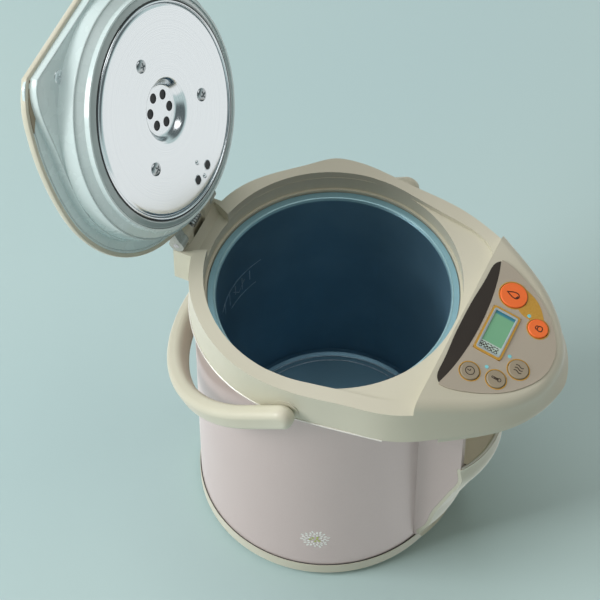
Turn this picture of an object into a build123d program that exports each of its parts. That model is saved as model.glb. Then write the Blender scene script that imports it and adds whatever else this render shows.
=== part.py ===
"""Electric thermo pot with its lid open: a pumped hot-water dispenser with a bail handle.

Millimetres, +Z up, front at -Y, lid hinge at +Y. The origin is on the floor, on the vessel's axis.
Heights marked _H are measured from the plane of the vessel's rim.
"""
from build123d import *
from math import cos, radians, sin, sqrt, tan
import os

# ---- driving dimensions ----
FLOOR_Z = 42.0           # vessel's floor above the table
VESSEL_DEPTH = 180.0
RIM_Z = FLOOR_Z + VESSEL_DEPTH
FLANGE_R = 85.0          # outer radius of the vessel's flange
JACKET_R = 83.8          # insulation between vessel and shell
MOUTH_R = 79.4           # vessel mouth
VESSEL_FOOT_R = 76.0     # inner radius at the vessel's floor
SHEET = 0.8              # stainless sheet of the vessel and lid plate
WALL = 2.2               # plastic mouldings
BODY_R = 91.0            # outer shell
BODY_SET_BACK = 4.0      # the outer shell's axis lies behind the vessel's axis
COLLAR_R = BODY_R + 6.0
COLLAR_TOP_H = 21.0      # collar rim at the hinge
COLLAR_FRONT_H = 16.0    # collar rim at the nose
COLLAR_FOOT_H = -10.0
NOSE_TOP_H = 26.0        # top of the nose at the lid's seat
NOSE_TILT = 15.0         # degrees that the nose's top falls towards the front
NOSE_FOOT_H = -18.0
BEAK_Y = -107.0          # the nose hangs lower in front of this line
NOSE_SEAT_Y = -92.0      # step where the closed lid meets the nose
NOSE_REACH = 168.0
NOSE_PLAN = (            # right half of the nose's outline, from the collar to the tip
    (93.5, -47.0), (89.5, -75.0), (82.0, -94.0), (72.0, -110.0), (58.0, -130.5), (44.5, -146.5),
    (29.5, -158.0), (12.0, -165.8),
)
NOSE_ROUND = 8.0
LID_AXIS_Y = 104.4
LID_AXIS_H = 25.7
LID_OPEN = 115.0         # degrees
LID_FRONT_Y = -91.0
LID_TOP_H = 42.0
HANDLE_Y = -9.4
HANDLE_H = -3.2
HANDLE_THICK = 12.2
HANDLE_HIGH = 16.2
HANDLE_HALF = COLLAR_R + 0.9 + HANDLE_THICK / 2
HANDLE_REACH = 135.3
HANDLE_DROP = 31.8       # degrees below the horizontal at rest
HANDLE_ROUND = 4.5
PIVOT_R = 4.0
BOSS_R = 8.8
NECK_HALF = 35.0
NECK_Y = -113.0          # front of the neck's cheeks at the lip
LIP_Y = -124.5
LIP_TOP_H = -100.0
CHEEK_Y = -112.0         # front edge of the cheeks above the lip
RECESS_Y = -99.0         # back wall of the recess above the lip
RECESS_HALF = 29.0
TRIM_DEEP = 2.6          # the light skin's depth along Y
NECK_SWEEP = (           # depth below the rim, share of the lip's reach
    (LIP_TOP_H, 1.0), (-112.0, 1.01), (-120.0, 0.98), (-128.0, 0.89), (-140.0, 0.75),
    (-156.0, 0.58), (-174.0, 0.42), (-190.0, 0.3), (-205.0, 0.2),
)
GAUGE_HALF = 6.0
GAUGE_Z = (RIM_Z - 90.0, RIM_Z - 26.0)

# ---- clearances ----
FIT = 0.05               # shaft in a hole, radial
SLIP = 0.4               # button in its hole, radial

# ---- levels derived from them ----
BODY_FRONT_Y = BODY_SET_BACK - BODY_R
BODY_REAR_Y = BODY_SET_BACK + BODY_R
LID_AXIS = Axis((0, LID_AXIS_Y, RIM_Z + LID_AXIS_H), (1, 0, 0))
HANDLE_AXIS = Axis((0, HANDLE_Y, RIM_Z + HANDLE_H), (1, 0, 0))
PANEL_AXIS = Axis((0, NOSE_SEAT_Y, RIM_Z + NOSE_TOP_H), (1, 0, 0))

# ---- base ----
FOOT_HIGH = 3.5
BASE_Z = 3.0
BASE_R = 92.0
SHELL_FOOT_Z = 14.0
SHELL_TOP_H = -5.5
FOOT_R = 8.0
FOOT_CIRCLE = 76.0
POST_R = 4.5
POST_CIRCLE = 60.0
SCREW_R = 1.8
SCREW_HEAD_R = 3.4
CHASSIS_Z = FLOOR_Z - 16.0
CHASSIS_THICK = 2.5

INLET_X = (-18.0, 18.0)
INLET_Z = (26.0, 50.0)

# ---- pump and plumbing ----
PUMP_Y = -46.0
PUMP_R = 20.0
PUMP_FOOT_Z = FLOOR_Z - 17.0
PUMP_TOP_Z = FLOOR_Z - 5.0
PUMP_OUT_Z = FLOOR_Z - 11.0
IMPELLER_R = 14.0
MOTOR_R = 13.0
TUBE_R = 3.5
TUBE_BORE = 2.5
RISER_Y = -81.2
RISER_TOP_Y = -91.0
RISER_TOP_H = -1.5
NOZZLE_TOP_H = -11.0
NOZZLE_Y = -138.0

# ---- control panel, laid out flat and then tilted with the nose's top ----
SHEET_TOP = 0.8          # panel sheet above the nose
BOARD_H = NOSE_TOP_H - 9.5
BOARD_THICK = 1.6
BUTTON_PROUD = 1.0
BUTTON_TRAVEL = 0.8
BUTTON_FOOT_Z = RIM_Z + NOSE_TOP_H - 5.3
LCD_X = (-17.3, 20.0)
LCD_Y = (-128.3, -108.0)
LCD_RIM = 2.6            # width of the display's frame
LCD_HOLE = tuple((low + LCD_RIM, high - LCD_RIM) for low, high in (LCD_X, LCD_Y))
INDICATORS = ((25.2, -132.1), (-10.2, -132.6), (-25.8, -122.2))
INDICATOR_R = 1.3
PANEL_TIP = (54.8, -99.3)
PANEL_PLAN = ((54.2, -106.0), (51.0, -115.5), (44.0, -129.7), (35.0, -142.0), (22.0, -153.0), (8.0, -159.3))
PANEL_FRONT_Y = -160.0
STRIP_TIP = (53.4, -99.0)
STRIP_REAR = ((51.0, -96.8), (40.0, -95.2), (16.0, -94.0))
STRIP_REAR_Y = -93.7
STRIP_FRONT = ((35.0, -103.3), (16.0, -105.5))
STRIP_FRONT_Y = -106.0
BUTTONS = {
    "dispense_button": (33.8, -116.8, 9.5),
    "unlock_button": (19.5, -141.1, 7.0),
    "timer_button": (-35.0, -113.5, 6.5),
    "temperature_button": (-31.0, -131.3, 6.5),
    "reboil_button": (-16.2, -141.6, 7.0),
}

# ---- lid underside ----
PLATE_R = 70.0
PLATE_H = -6.0
GASKET_R = (71.7, 77.0)
LINER_FOOT_R = 78.7
LINER_FOOT_H = -4.0
LINER_LEDGE_H = 4.0
LINER_WALL_R = 85.0
LINER_FLANGE_H = 21.6
LID_DOME = (             # share of the lid's plan, height
    (1.0, 23.6), (0.992, 25.8), (0.965, 28.6), (0.9, 31.6), (0.76, 35.6), (0.5, 39.8), (0.2, 42.0),
)
LID_LIP_H = 23.6         # the shell sits on the liner's flange here
SCREW_CIRCLE = 39.5
PLATE_SCREWS = [(-SCREW_CIRCLE * sin(radians(a)), -SCREW_CIRCLE * cos(radians(a))) for a in (0, 120, 240)]
STEAM_CIRCLE = 10.5
STEAM_HOLE_R = 3.4
VENT_R = 16.0
LATCH_HALF = 22.0
LATCH_Y = (-86.0, -62.0)
LATCH_FLOOR_H = 25.4
LATCH_PIVOT = (-65.2, RIM_Z + 29.2)
KNUCKLE_R = 5.4
KNUCKLE_X = (17.3, 25.5)
LUG_X = (9.0, 17.0)
PIN_R = 2.0
BLOCK_HALF = 25.5
BLOCK_Y = 107.0
BLOCK_TOP_H = 19.6
NOTCH_FLOOR_H = 12.0


def disc(radius, low, high, x=0.0, y=0.0):
    """Upright cylinder between two levels."""
    return Pos(x, y, (low + high) / 2) * Cylinder(radius, high - low)


def ring(outer, inner, low, high, x=0.0, y=0.0):
    """Upright tube between two levels."""
    return disc(outer, low, high, x, y) - disc(inner, low - 1, high + 1, x, y)


def block(x, y, z):
    """Box from its three extents."""
    centre = ((x[0] + x[1]) / 2, (y[0] + y[1]) / 2, (z[0] + z[1]) / 2)
    return Pos(*centre) * Box(x[1] - x[0], y[1] - y[0], z[1] - z[0])


def rod(radius, x0, x1, y, z):
    """Cylinder along X."""
    return Pos((x0 + x1) / 2, y, z) * Rot(0, 90, 0) * Cylinder(radius, x1 - x0)


def turned(points):
    """Solid of revolution from (radius, height) points."""
    profile = make_face(Polyline(*[(r, 0, z) for r, z in points], close=True))
    return revolve(profile, Axis.Z)


def prism(points, low, high):
    """Upright prism on a plan polygon."""
    face = make_face(Polyline(*[(x, y, low) for x, y in points], close=True))
    return extrude(face, high - low, dir=(0, 0, 1))


def save(name, shape):
    """One STEP file per node."""
    solids = shape.solids()
    whole = solids[0] if len(solids) == 1 else Compound(children=list(solids))
    export_step(whole, f"parts/{name}.step")


def tilted(shape):
    """Lays a flat piece of the panel on the nose's sloping top."""
    return shape.rotate(PANEL_AXIS, NOSE_TILT)


def both_sides(half, middle):
    """Points of a half outline, then a middle point, then their reflections."""
    return [*half, middle, *[(-x, y) for x, y in reversed(half)]]


# ---- outlines of the head ----
def head_face(level, inset, draft=0.0, slope=0.0):
    """Plan of collar and nose: a rear half circle and one smooth curve round the front."""
    radius = COLLAR_R + 0.5 - inset
    front = []
    for x, y in both_sides(NOSE_PLAN, (0, -NOSE_REACH)):
        inward = inset + draft * min(1.0, (NOSE_REACH + 12 + y) / 86)
        share = 1 - inward / sqrt(x ** 2 + (y + 60) ** 2)
        front.append((x * share, -60 + (y + 60) * share))
    front = [(radius, 0), *front, (-radius, 0)]
    rear = [(radius * cos(radians(a)), radius * sin(radians(a))) for a in (180, 150, 120, 90, 60, 30, 0)]
    edges = []
    for points, start, end in ((front, -1, 1), (rear, 1, -1)):
        ends = [(0, start, start * slope), (0, end, end * slope)]
        places = [(x, y, level + slope * (y - NOSE_SEAT_Y)) for x, y in points]
        edges.append(Spline(*places, tangents=ends))
    return make_face(Curve() + edges)


def under_nose_top(depth):
    """Everything below the nose's sloping top, this deep under it."""
    return tilted(block((-150, 150), (-300, 150), (-200, RIM_Z + NOSE_TOP_H - depth)))


def lid_pocket(inset, low, high):
    """D-shaped pocket in the collar's top that the lid's liner drops into."""
    right = [
        (63.0 - inset, -89.5 + inset),
        (71.5 - inset, -80),
        (76.0 - inset, -69),
        (80.0 - inset, -47),
        (85.5 - inset, -17),
    ]
    rear_r = 87.0 - inset
    left = [(-x, y) for x, y in reversed(right)]
    side = Spline(*[(x, y, low) for x, y in right + [(rear_r, 10)]])
    other = Spline(*[(x, y, low) for x, y in [(-rear_r, 10)] + left])
    front = Line((left[-1][0], left[-1][1], low), (right[0][0], right[0][1], low))
    rear = ThreePointArc((rear_r, 10, low), (0, rear_r + 0.5, low), (-rear_r, 10, low))
    return extrude(make_face(Curve() + [side, rear, other, front]), high - low, dir=(0, 0, 1))


def rear_notch():
    """Splayed opening in the collar's rear wall, in front of the hinge."""
    plan = prism([(-15.5, 84), (15.5, 84), (23, 99.5), (-23, 99.5)], RIM_Z + NOTCH_FLOOR_H, RIM_Z + 40)
    ramp = Pos(0, 86, RIM_Z + 4) * Rot(45, 0, 0) * block((-30, 30), (-2, 60), (-60, 0))
    return plan - ramp


def top_collar():
    low = head_face(RIM_Z + COLLAR_FOOT_H, 0)
    top = head_face(RIM_Z + NOSE_TOP_H, 0.5, 4.0, tan(radians(NOSE_TILT)))
    head = loft([low, top])
    nose_edges = head.faces().sort_by(Axis.Z)[-1].edges()
    head = fillet(nose_edges, NOSE_ROUND)
    beak = extrude(head_face(RIM_Z + NOSE_FOOT_H, 2.5), COLLAR_FOOT_H - NOSE_FOOT_H + 1, dir=(0, 0, 1))
    head += beak & block((-120, 120), (-200, BEAK_Y), (RIM_Z - 40, RIM_Z))
    # the rim falls from the hinge towards the nose
    slope = (COLLAR_TOP_H - COLLAR_FRONT_H) / (COLLAR_R - NOSE_SEAT_Y)
    rise = RIM_Z + COLLAR_TOP_H - slope * COLLAR_R
    over = make_face(Polyline(
        (0, NOSE_SEAT_Y, rise + slope * NOSE_SEAT_Y),
        (0, COLLAR_R + 5, rise + slope * (COLLAR_R + 5)),
        (0, COLLAR_R + 5, RIM_Z + 120),
        (0, NOSE_SEAT_Y, RIM_Z + 120),
        close=True,
    ))
    head -= extrude(over, 120, dir=(1, 0, 0), both=True)
    head -= lid_pocket(0, RIM_Z + 13.5, RIM_Z + 60)
    head -= disc(87.3, RIM_Z + 2, RIM_Z + 60)
    head -= disc(FLANGE_R + 0.6, RIM_Z - 3, RIM_Z + 3)
    head -= disc(MOUTH_R + 2.2, RIM_Z - 30, RIM_Z + 3)
    head -= disc(BODY_R + 0.3, RIM_Z - 30, RIM_Z - 5, 0, BODY_SET_BACK)
    head -= ring(94.4, 89.6, RIM_Z - 6, RIM_Z + 11)
    hollow = extrude(head_face(RIM_Z + NOSE_FOOT_H - 1, 8), 60, dir=(0, 0, 1)) & under_nose_top(WALL)
    head -= hollow & block((-120, 120), (-200, NOSE_SEAT_Y - 4), (RIM_Z - 40, RIM_Z + 60))
    head += block((-BLOCK_HALF, BLOCK_HALF), (93, BLOCK_Y), (RIM_Z - 3, RIM_Z + BLOCK_TOP_H))
    rear_skirt = block((-BLOCK_HALF, BLOCK_HALF), (96.5, BLOCK_Y), (RIM_Z + COLLAR_FOOT_H, RIM_Z))
    head += rear_skirt
    for side in (-1, 1):
        boss = rod(BOSS_R, BODY_R + 1, HANDLE_HALF - HANDLE_THICK / 2 - 0.4, 0, 0)
        head += Pos(0, HANDLE_Y, RIM_Z + HANDLE_H) * (boss if side > 0 else mirror(boss, Plane.YZ))
        low_x, high_x = sorted((side * LUG_X[0], side * LUG_X[1]))
        head += rod(KNUCKLE_R - 0.1, low_x, high_x, LID_AXIS_Y, RIM_Z + LID_AXIS_H)
        head += block((low_x, high_x), (LID_AXIS_Y - 5, BLOCK_Y), (RIM_Z + 15, RIM_Z + LID_AXIS_H))
    head -= disc(87.3, RIM_Z + 2, RIM_Z + 60)
    head -= rear_notch()
    head -= block((-LUG_X[0], LUG_X[0]), (LID_AXIS_Y - 5, LID_AXIS_Y - 2), (RIM_Z + 6, RIM_Z + 40))
    head -= rod(PIN_R, -30, 30, LID_AXIS_Y, RIM_Z + LID_AXIS_H)
    pin_hole = rod(PIVOT_R, -120, 120, HANDLE_Y, RIM_Z + HANDLE_H)
    head -= pin_hole - rod(PIVOT_R + 1, -BODY_R, BODY_R, HANDLE_Y, RIM_Z + HANDLE_H)
    head -= tilted(block(*LCD_HOLE, (RIM_Z + 15, RIM_Z + 40)))
    head -= block((-4.2, 4.2), (NOSE_SEAT_Y - 5, BODY_FRONT_Y), (RIM_Z - 30, RIM_Z + RISER_TOP_H + 4))
    for x, y, radius in BUTTONS.values():
        head -= tilted(disc(radius + SLIP, RIM_Z + 15, RIM_Z + 40, x, y))
    return head


# ---- body ----
def corners(circle, start=45):
    """Four places on a circle, a quarter turn apart."""
    return [(circle * cos(radians(start + 90 * k)), circle * sin(radians(start + 90 * k))) for k in range(4)]


def base_cover():
    y = BODY_SET_BACK
    cover = disc(BASE_R, BASE_Z, SHELL_FOOT_Z, 0, y)
    cover = chamfer(cover.faces().sort_by(Axis.Z)[0].edges(), 1.5)
    cover -= disc(BASE_R - 2.6, BASE_Z + WALL, SHELL_FOOT_Z + 1, 0, y)
    for px, py in corners(POST_CIRCLE):
        cover -= disc(SCREW_HEAD_R + 0.3, BASE_Z - 1, BASE_Z + 1.2, px, py)
        cover -= disc(SCREW_R, BASE_Z - 1, BASE_Z + 4, px, py)
    for px, py in corners(FOOT_CIRCLE, 20):
        cover -= disc(FOOT_R, BASE_Z - 1, BASE_Z + 1, px, py)
    return cover


def rubber_feet():
    return Compound(children=[disc(FOOT_R, 0, BASE_Z + 1, x, y) for x, y in corners(FOOT_CIRCLE, 20)])


def base_screws():
    screws = []
    for x, y in corners(POST_CIRCLE):
        screw = disc(SCREW_HEAD_R, BASE_Z + 0.1, BASE_Z + 1.2, x, y) + disc(SCREW_R, BASE_Z + 1.2, BASE_Z + 12, x, y)
        screw -= block((x - 2.4, x + 2.4), (y - 0.4, y + 0.4), (BASE_Z, BASE_Z + 0.7))
        screws.append(screw)
    return Compound(children=screws)


def chassis():
    """Ring that carries the vessel, on four posts screwed from below."""
    frame = ring(88.0, 52.0, CHASSIS_Z, CHASSIS_Z + CHASSIS_THICK)
    frame -= block((-24, 24), (-100, -20), (CHASSIS_Z - 1, FLOOR_Z))
    frame -= block((-26, 26), (60, 100), (CHASSIS_Z - 1, FLOOR_Z))
    frame = frame & disc(BODY_R - 3.4, 0, RIM_Z, 0, BODY_SET_BACK)
    for x, y in corners(POST_CIRCLE):
        frame += disc(POST_R, BASE_Z + WALL, CHASSIS_Z + 1, x, y)
        frame += disc(POST_R, CHASSIS_Z, FLOOR_Z - SHEET, x, y)
        frame -= disc(SCREW_R, BASE_Z, BASE_Z + 12, x, y)
    return frame


def outer_shell():
    y = BODY_SET_BACK
    shell = ring(BODY_R, BODY_R - 1.8, SHELL_FOOT_Z, RIM_Z + SHELL_TOP_H, 0, y)
    shell -= block((-28, 28), (-100, -60), (RIM_Z - 142, RIM_Z - 14))
    shell -= block(INLET_X, (80, 100), INLET_Z)
    return shell


def power_inlet():
    """Flat two-pin socket, recessed in the rear of the shell."""
    y_front = BODY_REAR_Y - 14
    inlet = block((INLET_X[0] + 0.2, INLET_X[1] - 0.2), (y_front, BODY_REAR_Y + 0.5),
                  (INLET_Z[0] + 0.2, INLET_Z[1] - 0.2))
    inlet -= block((INLET_X[0] + 3, INLET_X[1] - 3), (BODY_REAR_Y - 9, BODY_REAR_Y + 5),
                   (INLET_Z[0] + 3, INLET_Z[1] - 3))
    for x in (-6.0, 6.0):
        inlet -= Pos(x, BODY_REAR_Y - 10, 38) * Rot(90, 0, 0) * Cylinder(1.6, 12)
    return inlet


def inlet_pins():
    pins = []
    for x in (-6.0, 6.0):
        pin = Pos(x, BODY_REAR_Y - 10, 38) * Rot(90, 0, 0) * Cylinder(1.6, 12)
        pins.append(pin)
    return Compound(children=pins)


# ---- vessel ----
def inner_vessel():
    """Tapered steel pot with a rolled flange, a stepped floor and a suction hole."""
    t = SHEET
    outline = [
        (0, FLOOR_Z - t), (VESSEL_FOOT_R - 4, FLOOR_Z - t), (VESSEL_FOOT_R - 1.2, FLOOR_Z + 0.6),
        (VESSEL_FOOT_R + t, FLOOR_Z + 3), (MOUTH_R + t, RIM_Z - 2.4),
        (MOUTH_R + 2.4, RIM_Z - t), (FLANGE_R, RIM_Z - t), (FLANGE_R, RIM_Z), (MOUTH_R + 2, RIM_Z),
        (MOUTH_R, RIM_Z - 2), (VESSEL_FOOT_R, FLOOR_Z + 3.4), (VESSEL_FOOT_R - 1.4, FLOOR_Z + 1.2),
        (VESSEL_FOOT_R - 4.2, FLOOR_Z), (0, FLOOR_Z),
    ]
    return turned(outline) - disc(5.0, FLOOR_Z - 5, FLOOR_Z + 5, 0, PUMP_Y)


def vessel_seal():
    return ring(FLANGE_R - 0.2, MOUTH_R + 2.8, RIM_Z - 3, RIM_Z - SHEET)


def insulation_jacket():
    jacket = ring(JACKET_R, JACKET_R - 2.8, FLOOR_Z + 8, RIM_Z - 6)
    return jacket - block((-9, 9), (-100, -60), (0, RIM_Z))


def heater_band():
    """Mica band heater, open at the front where it is clamped."""
    band = ring(80.6, 78.6, FLOOR_Z + 14, FLOOR_Z + 54)
    return band - block((-9, 9), (-100, -60), (0, RIM_Z))


def thermal_cutout():
    cap = disc(8.5, FLOOR_Z - SHEET - 4, FLOOR_Z - SHEET, 0, 12)
    cap += disc(6.5, FLOOR_Z - 10, FLOOR_Z - SHEET - 4, 0, 12)
    for x in (-4.0, 4.0):
        cap += block((x - 1.5, x + 1.5), (11.6, 12.4), (FLOOR_Z - 15, FLOOR_Z - 9))
    return cap


# ---- pump ----
def pump_housing():
    pump = disc(PUMP_R, PUMP_FOOT_Z, PUMP_TOP_Z, 0, PUMP_Y)
    pump += disc(4.9, PUMP_TOP_Z - 1, FLOOR_Z + 1, 0, PUMP_Y)
    pump += disc(7.5, PUMP_TOP_Z - 1, FLOOR_Z - SHEET, 0, PUMP_Y)
    pump += Pos(0, (PUMP_Y - PUMP_R - 72) / 2 + 2, PUMP_OUT_Z) * Rot(90, 0, 0) * Cylinder(5, 10)
    pump -= disc(IMPELLER_R + 1.5, PUMP_FOOT_Z + 2, PUMP_TOP_Z - 2, 0, PUMP_Y)
    pump -= disc(3.4, PUMP_TOP_Z - 3, FLOOR_Z + 3, 0, PUMP_Y)
    pump -= Pos(0, PUMP_Y - PUMP_R, PUMP_OUT_Z) * Rot(90, 0, 0) * Cylinder(TUBE_BORE, 30)
    pump -= disc(1.5 + FIT, PUMP_FOOT_Z - 1, PUMP_FOOT_Z + 4, 0, PUMP_Y)
    return pump


def pump_motor():
    motor = disc(MOTOR_R, BASE_Z + WALL + 0.3, PUMP_FOOT_Z, 0, PUMP_Y)
    return motor - disc(1.5 + FIT, PUMP_FOOT_Z - 10, PUMP_FOOT_Z + 1, 0, PUMP_Y)


def pump_impeller():
    """Open impeller with five vanes on the motor's shaft."""
    low = PUMP_FOOT_Z + 2.8
    wheel = disc(IMPELLER_R, low, low + 1.4, 0, PUMP_Y) + disc(3.0, low, low + 5, 0, PUMP_Y)
    for k in range(5):
        vane = block((2.5, IMPELLER_R - 0.5), (-0.6, 0.6), (low + 1, low + 5))
        wheel += Pos(0, PUMP_Y, 0) * Rot(0, 0, 72 * k) * vane
    return wheel + disc(1.5, PUMP_FOOT_Z - 8, low + 1, 0, PUMP_Y)


def riser_tube():
    """From the pump up the front of the vessel, through the neck and over to the nozzle."""
    top_z = RIM_Z + RISER_TOP_H
    path = FilletPolyline(
        (0, -73.1, PUMP_OUT_Z), (0, RISER_Y, PUMP_OUT_Z), (0, RISER_Y, RIM_Z - 140), (0, RISER_TOP_Y, RIM_Z - 118),
        (0, RISER_TOP_Y, top_z), (0, NOZZLE_Y, top_z), (0, NOZZLE_Y, RIM_Z + NOZZLE_TOP_H),
        radius=[4.5, 14, 14, 8, 6],
    )
    start = Plane(path @ 0, z_dir=path % 0)
    wall = start * (Circle(TUBE_R) - Circle(TUBE_BORE))
    return sweep(wall, path)


def spout_nozzle():
    nozzle = disc(6.5, RIM_Z + NOSE_FOOT_H - 7, RIM_Z + NOZZLE_TOP_H, 0, NOZZLE_Y)
    nozzle += disc(8.5, RIM_Z + NOSE_FOOT_H + WALL, RIM_Z + NOSE_FOOT_H + WALL + 1.5, 0, NOZZLE_Y)
    return nozzle - disc(TUBE_BORE, 0, RIM_Z, 0, NOZZLE_Y)


# ---- head fittings ----
def nose_underside():
    """Stepped plate that closes the nose from below, with the nozzle's hole."""
    low = RIM_Z + NOSE_FOOT_H
    high = RIM_Z + COLLAR_FOOT_H
    step_y = BEAK_Y - 0.3
    inside = extrude(head_face(low, 8.3), high + WALL - low, dir=(0, 0, 1))
    plate = inside & block((-120, 120), (-200, step_y), (low, low + WALL))
    plate += inside & block((-120, 120), (step_y - WALL, step_y), (low, high + WALL))
    plate += inside & block((-120, 120), (step_y - WALL, NOSE_SEAT_Y - 4.2), (high, high + WALL))
    return plate - disc(6.7, 0, RIM_Z, 0, NOZZLE_Y)


def panel_outline(level):
    """Plan of the control panel: straight rear edge, rounded front."""
    curve = Spline(*[(x, y, level) for x, y in both_sides((PANEL_TIP, *PANEL_PLAN), (0, PANEL_FRONT_Y))])
    return make_face(Curve() + [curve, Line(curve @ 1, curve @ 0)])


def strip_outline(level, grow=0.0):
    """Plan of the dark strip: a crescent with its tips at the panel's rear corners."""
    rear = both_sides((STRIP_TIP, *STRIP_REAR), (0, STRIP_REAR_Y + grow))
    front = both_sides((STRIP_TIP, *STRIP_FRONT), (0, STRIP_FRONT_Y - grow))
    front = [(x, y - grow if abs(x) < STRIP_TIP[0] else y) for x, y in front]
    return make_face(Curve() + [Spline(*[(x, y, level) for x, y in points]) for points in (rear, front)])


def control_panel():
    low = RIM_Z + NOSE_TOP_H
    sheet = extrude(panel_outline(low), SHEET_TOP, dir=(0, 0, 1))
    sheet -= extrude(strip_outline(low - 1, 0.1), SHEET_TOP + 2, dir=(0, 0, 1))
    sheet -= block((-60, 60), (STRIP_TIP[1], -90), (low - 1, low + 2))
    sheet -= block((LCD_X[0] - 0.1, LCD_X[1] + 0.1), (LCD_Y[0] - 0.1, LCD_Y[1] + 0.1), (low - 1, low + 2))
    for x, y, radius in BUTTONS.values():
        sheet -= disc(radius + SLIP, low - 1, low + 2, x, y)
    for x, y in INDICATORS:
        sheet -= disc(INDICATOR_R, low - 1, low + 2, x, y)
    return tilted(sheet)


def indicator_lenses():
    low = RIM_Z + NOSE_TOP_H
    lenses = [tilted(disc(INDICATOR_R, low + 0.05, low + SHEET_TOP + 0.2, x, y)) for x, y in INDICATORS]
    return Compound(children=lenses)


def panel_strip():
    """Dark crescent between the panel and the lid's seat."""
    return tilted(extrude(strip_outline(RIM_Z + NOSE_TOP_H), SHEET_TOP, dir=(0, 0, 1)))


def lcd_frame():
    low = RIM_Z + NOSE_TOP_H
    outer = block(LCD_X, LCD_Y, (low, low + 1.6))
    outer = fillet(outer.edges().filter_by(Axis.Z), 2)
    return tilted(outer - block(*LCD_HOLE, (low - 1, low + 3)))


def lcd_window():
    low = RIM_Z + NOSE_TOP_H
    (x0, x1), (y0, y1) = LCD_HOLE
    return tilted(block((x0 + 0.1, x1 - 0.1), (y0 + 0.1, y1 - 0.1), (low - 1.2, low + 1.1)))


def lcd_module():
    (x0, x1), (y0, y1) = LCD_HOLE
    return tilted(block((x0 + 0.5, x1 - 0.5), (y0 + 0.5, y1 - 0.5),
                        (RIM_Z + BOARD_H + BOARD_THICK, RIM_Z + NOSE_TOP_H - 1.2)))


def control_board():
    """Board with one push switch under each button."""
    low = RIM_Z + BOARD_H
    board = prism([(-44, -104), (44, -104), (40, -128), (22, -148), (-22, -148), (-40, -128)], low, low + BOARD_THICK)
    for x, y, _ in BUTTONS.values():
        board += block((x - 2.5, x + 2.5), (y - 2.5, y + 2.5), (low + 1, BUTTON_FOOT_Z - BUTTON_TRAVEL - 0.3))
    return tilted(board)


def button(x, y, radius):
    """Capped plunger with a flange that keeps it under the nose's wall."""
    top = RIM_Z + NOSE_TOP_H + SHEET_TOP + BUTTON_PROUD
    cap = disc(radius, BUTTON_FOOT_Z, top, x, y)
    cap = fillet(cap.faces().sort_by(Axis.Z)[-1].edges(), 0.7)
    return tilted(cap + disc(radius + 1.4, BUTTON_FOOT_Z, RIM_Z + NOSE_TOP_H - WALL - 0.3, x, y))


# ---- neck ----
def neck_section(depth, reach, shift=0.0, trim=0.0):
    """Plan of the neck at one depth: straight cheeks and a bowed front that recedes with the depth."""
    level = RIM_Z + depth
    half = NECK_HALF - trim
    cheek_root = BODY_SET_BACK - sqrt(BODY_R ** 2 - NECK_HALF ** 2)
    side_y = cheek_root + reach * (NECK_Y - cheek_root) + shift
    front_y = BODY_FRONT_Y + reach * (LIP_Y - BODY_FRONT_Y) + shift
    bow = ThreePointArc((half, side_y, level), (0, front_y, level), (-half, side_y, level))
    back = BODY_FRONT_Y + 14
    rest = Polyline((-half, side_y, level), (-half, back, level), (half, back, level), (half, side_y, level))
    return make_face(Curve() + [bow, rest])


def neck_chin(shift, trim=0.0):
    """Bowed lip that is full at its top and sweeps back to the body below."""
    return loft([neck_section(depth, reach, shift, trim) for depth, reach in NECK_SWEEP])


def neck_cover():
    """Cheeks and back wall of the neck, open towards the body, with a recess above the lip."""
    top = RIM_Z + COLLAR_FOOT_H - 0.2
    lip = RIM_Z + LIP_TOP_H
    neck = neck_chin(TRIM_DEEP + 0.1)
    neck += block((-NECK_HALF, NECK_HALF), (CHEEK_Y, BODY_FRONT_Y + 14), (lip, top))
    neck -= block((-50, 50), (CHEEK_Y - 1, BEAK_Y + 0.5), (RIM_Z + NOSE_FOOT_H - 0.3, top + 1))
    inner_half = NECK_HALF - WALL
    neck -= neck_chin(TRIM_DEEP + WALL, WALL) & block((-50, 50), (-130, -60), (0, lip - WALL))
    neck -= block((-inner_half, inner_half), (RECESS_Y + WALL, -60), (lip - 2 * WALL, top + 1))
    neck -= block((-RECESS_HALF, RECESS_HALF), (-130, RECESS_Y), (lip - 1, top + 1))
    neck -= block((-GAUGE_HALF, GAUGE_HALF), (-110, -90), GAUGE_Z)
    return neck - disc(BODY_R, 0, RIM_Z, 0, BODY_SET_BACK)


def gauge_window():
    return block((-GAUGE_HALF + 0.1, GAUGE_HALF - 0.1), (RECESS_Y - 0.4, RECESS_Y + WALL),
                 (GAUGE_Z[0] + 0.1, GAUGE_Z[1] - 0.1))


def neck_trim():
    """Light skin over the lip, wrapped a little way round the cheeks."""
    trim = neck_chin(0) - neck_chin(TRIM_DEEP)
    return trim - disc(BODY_R + 0.2, 0, RIM_Z, 0, BODY_SET_BACK)


# ---- lid, built closed ----
def lid_outline(level, inset, share=1.0):
    """Plan of the lid, at a share of its size: half round at the hinge, squared off at the nose."""
    radius = COLLAR_R - inset
    right = [(radius, 0), (96 - inset, -19), (88 - inset, -55), (76.5 - inset, -79), (64 - inset, LID_FRONT_Y + inset)]
    right = [(x * share, y * share, level) for x, y in right]
    left = [(-x, y, z) for x, y, z in reversed(right)]
    side = Spline(*right, tangents=[(0, -1, 0), (-1, -0.15, 0)])
    other = Spline(*left, tangents=[(-1, 0.15, 0), (0, 1, 0)])
    front = Line(right[-1], left[0])
    rear = ThreePointArc(right[0], (0, radius * share, level), left[-1])
    return make_face(Curve() + [side, front, other, rear])


def lid_outer(inset, lift):
    """Shallow dome over the lid's plan, lofted through shrinking outlines."""
    return loft([lid_outline(RIM_Z + level - lift, inset, share) for share, level in LID_DOME], ruled=True)


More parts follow.
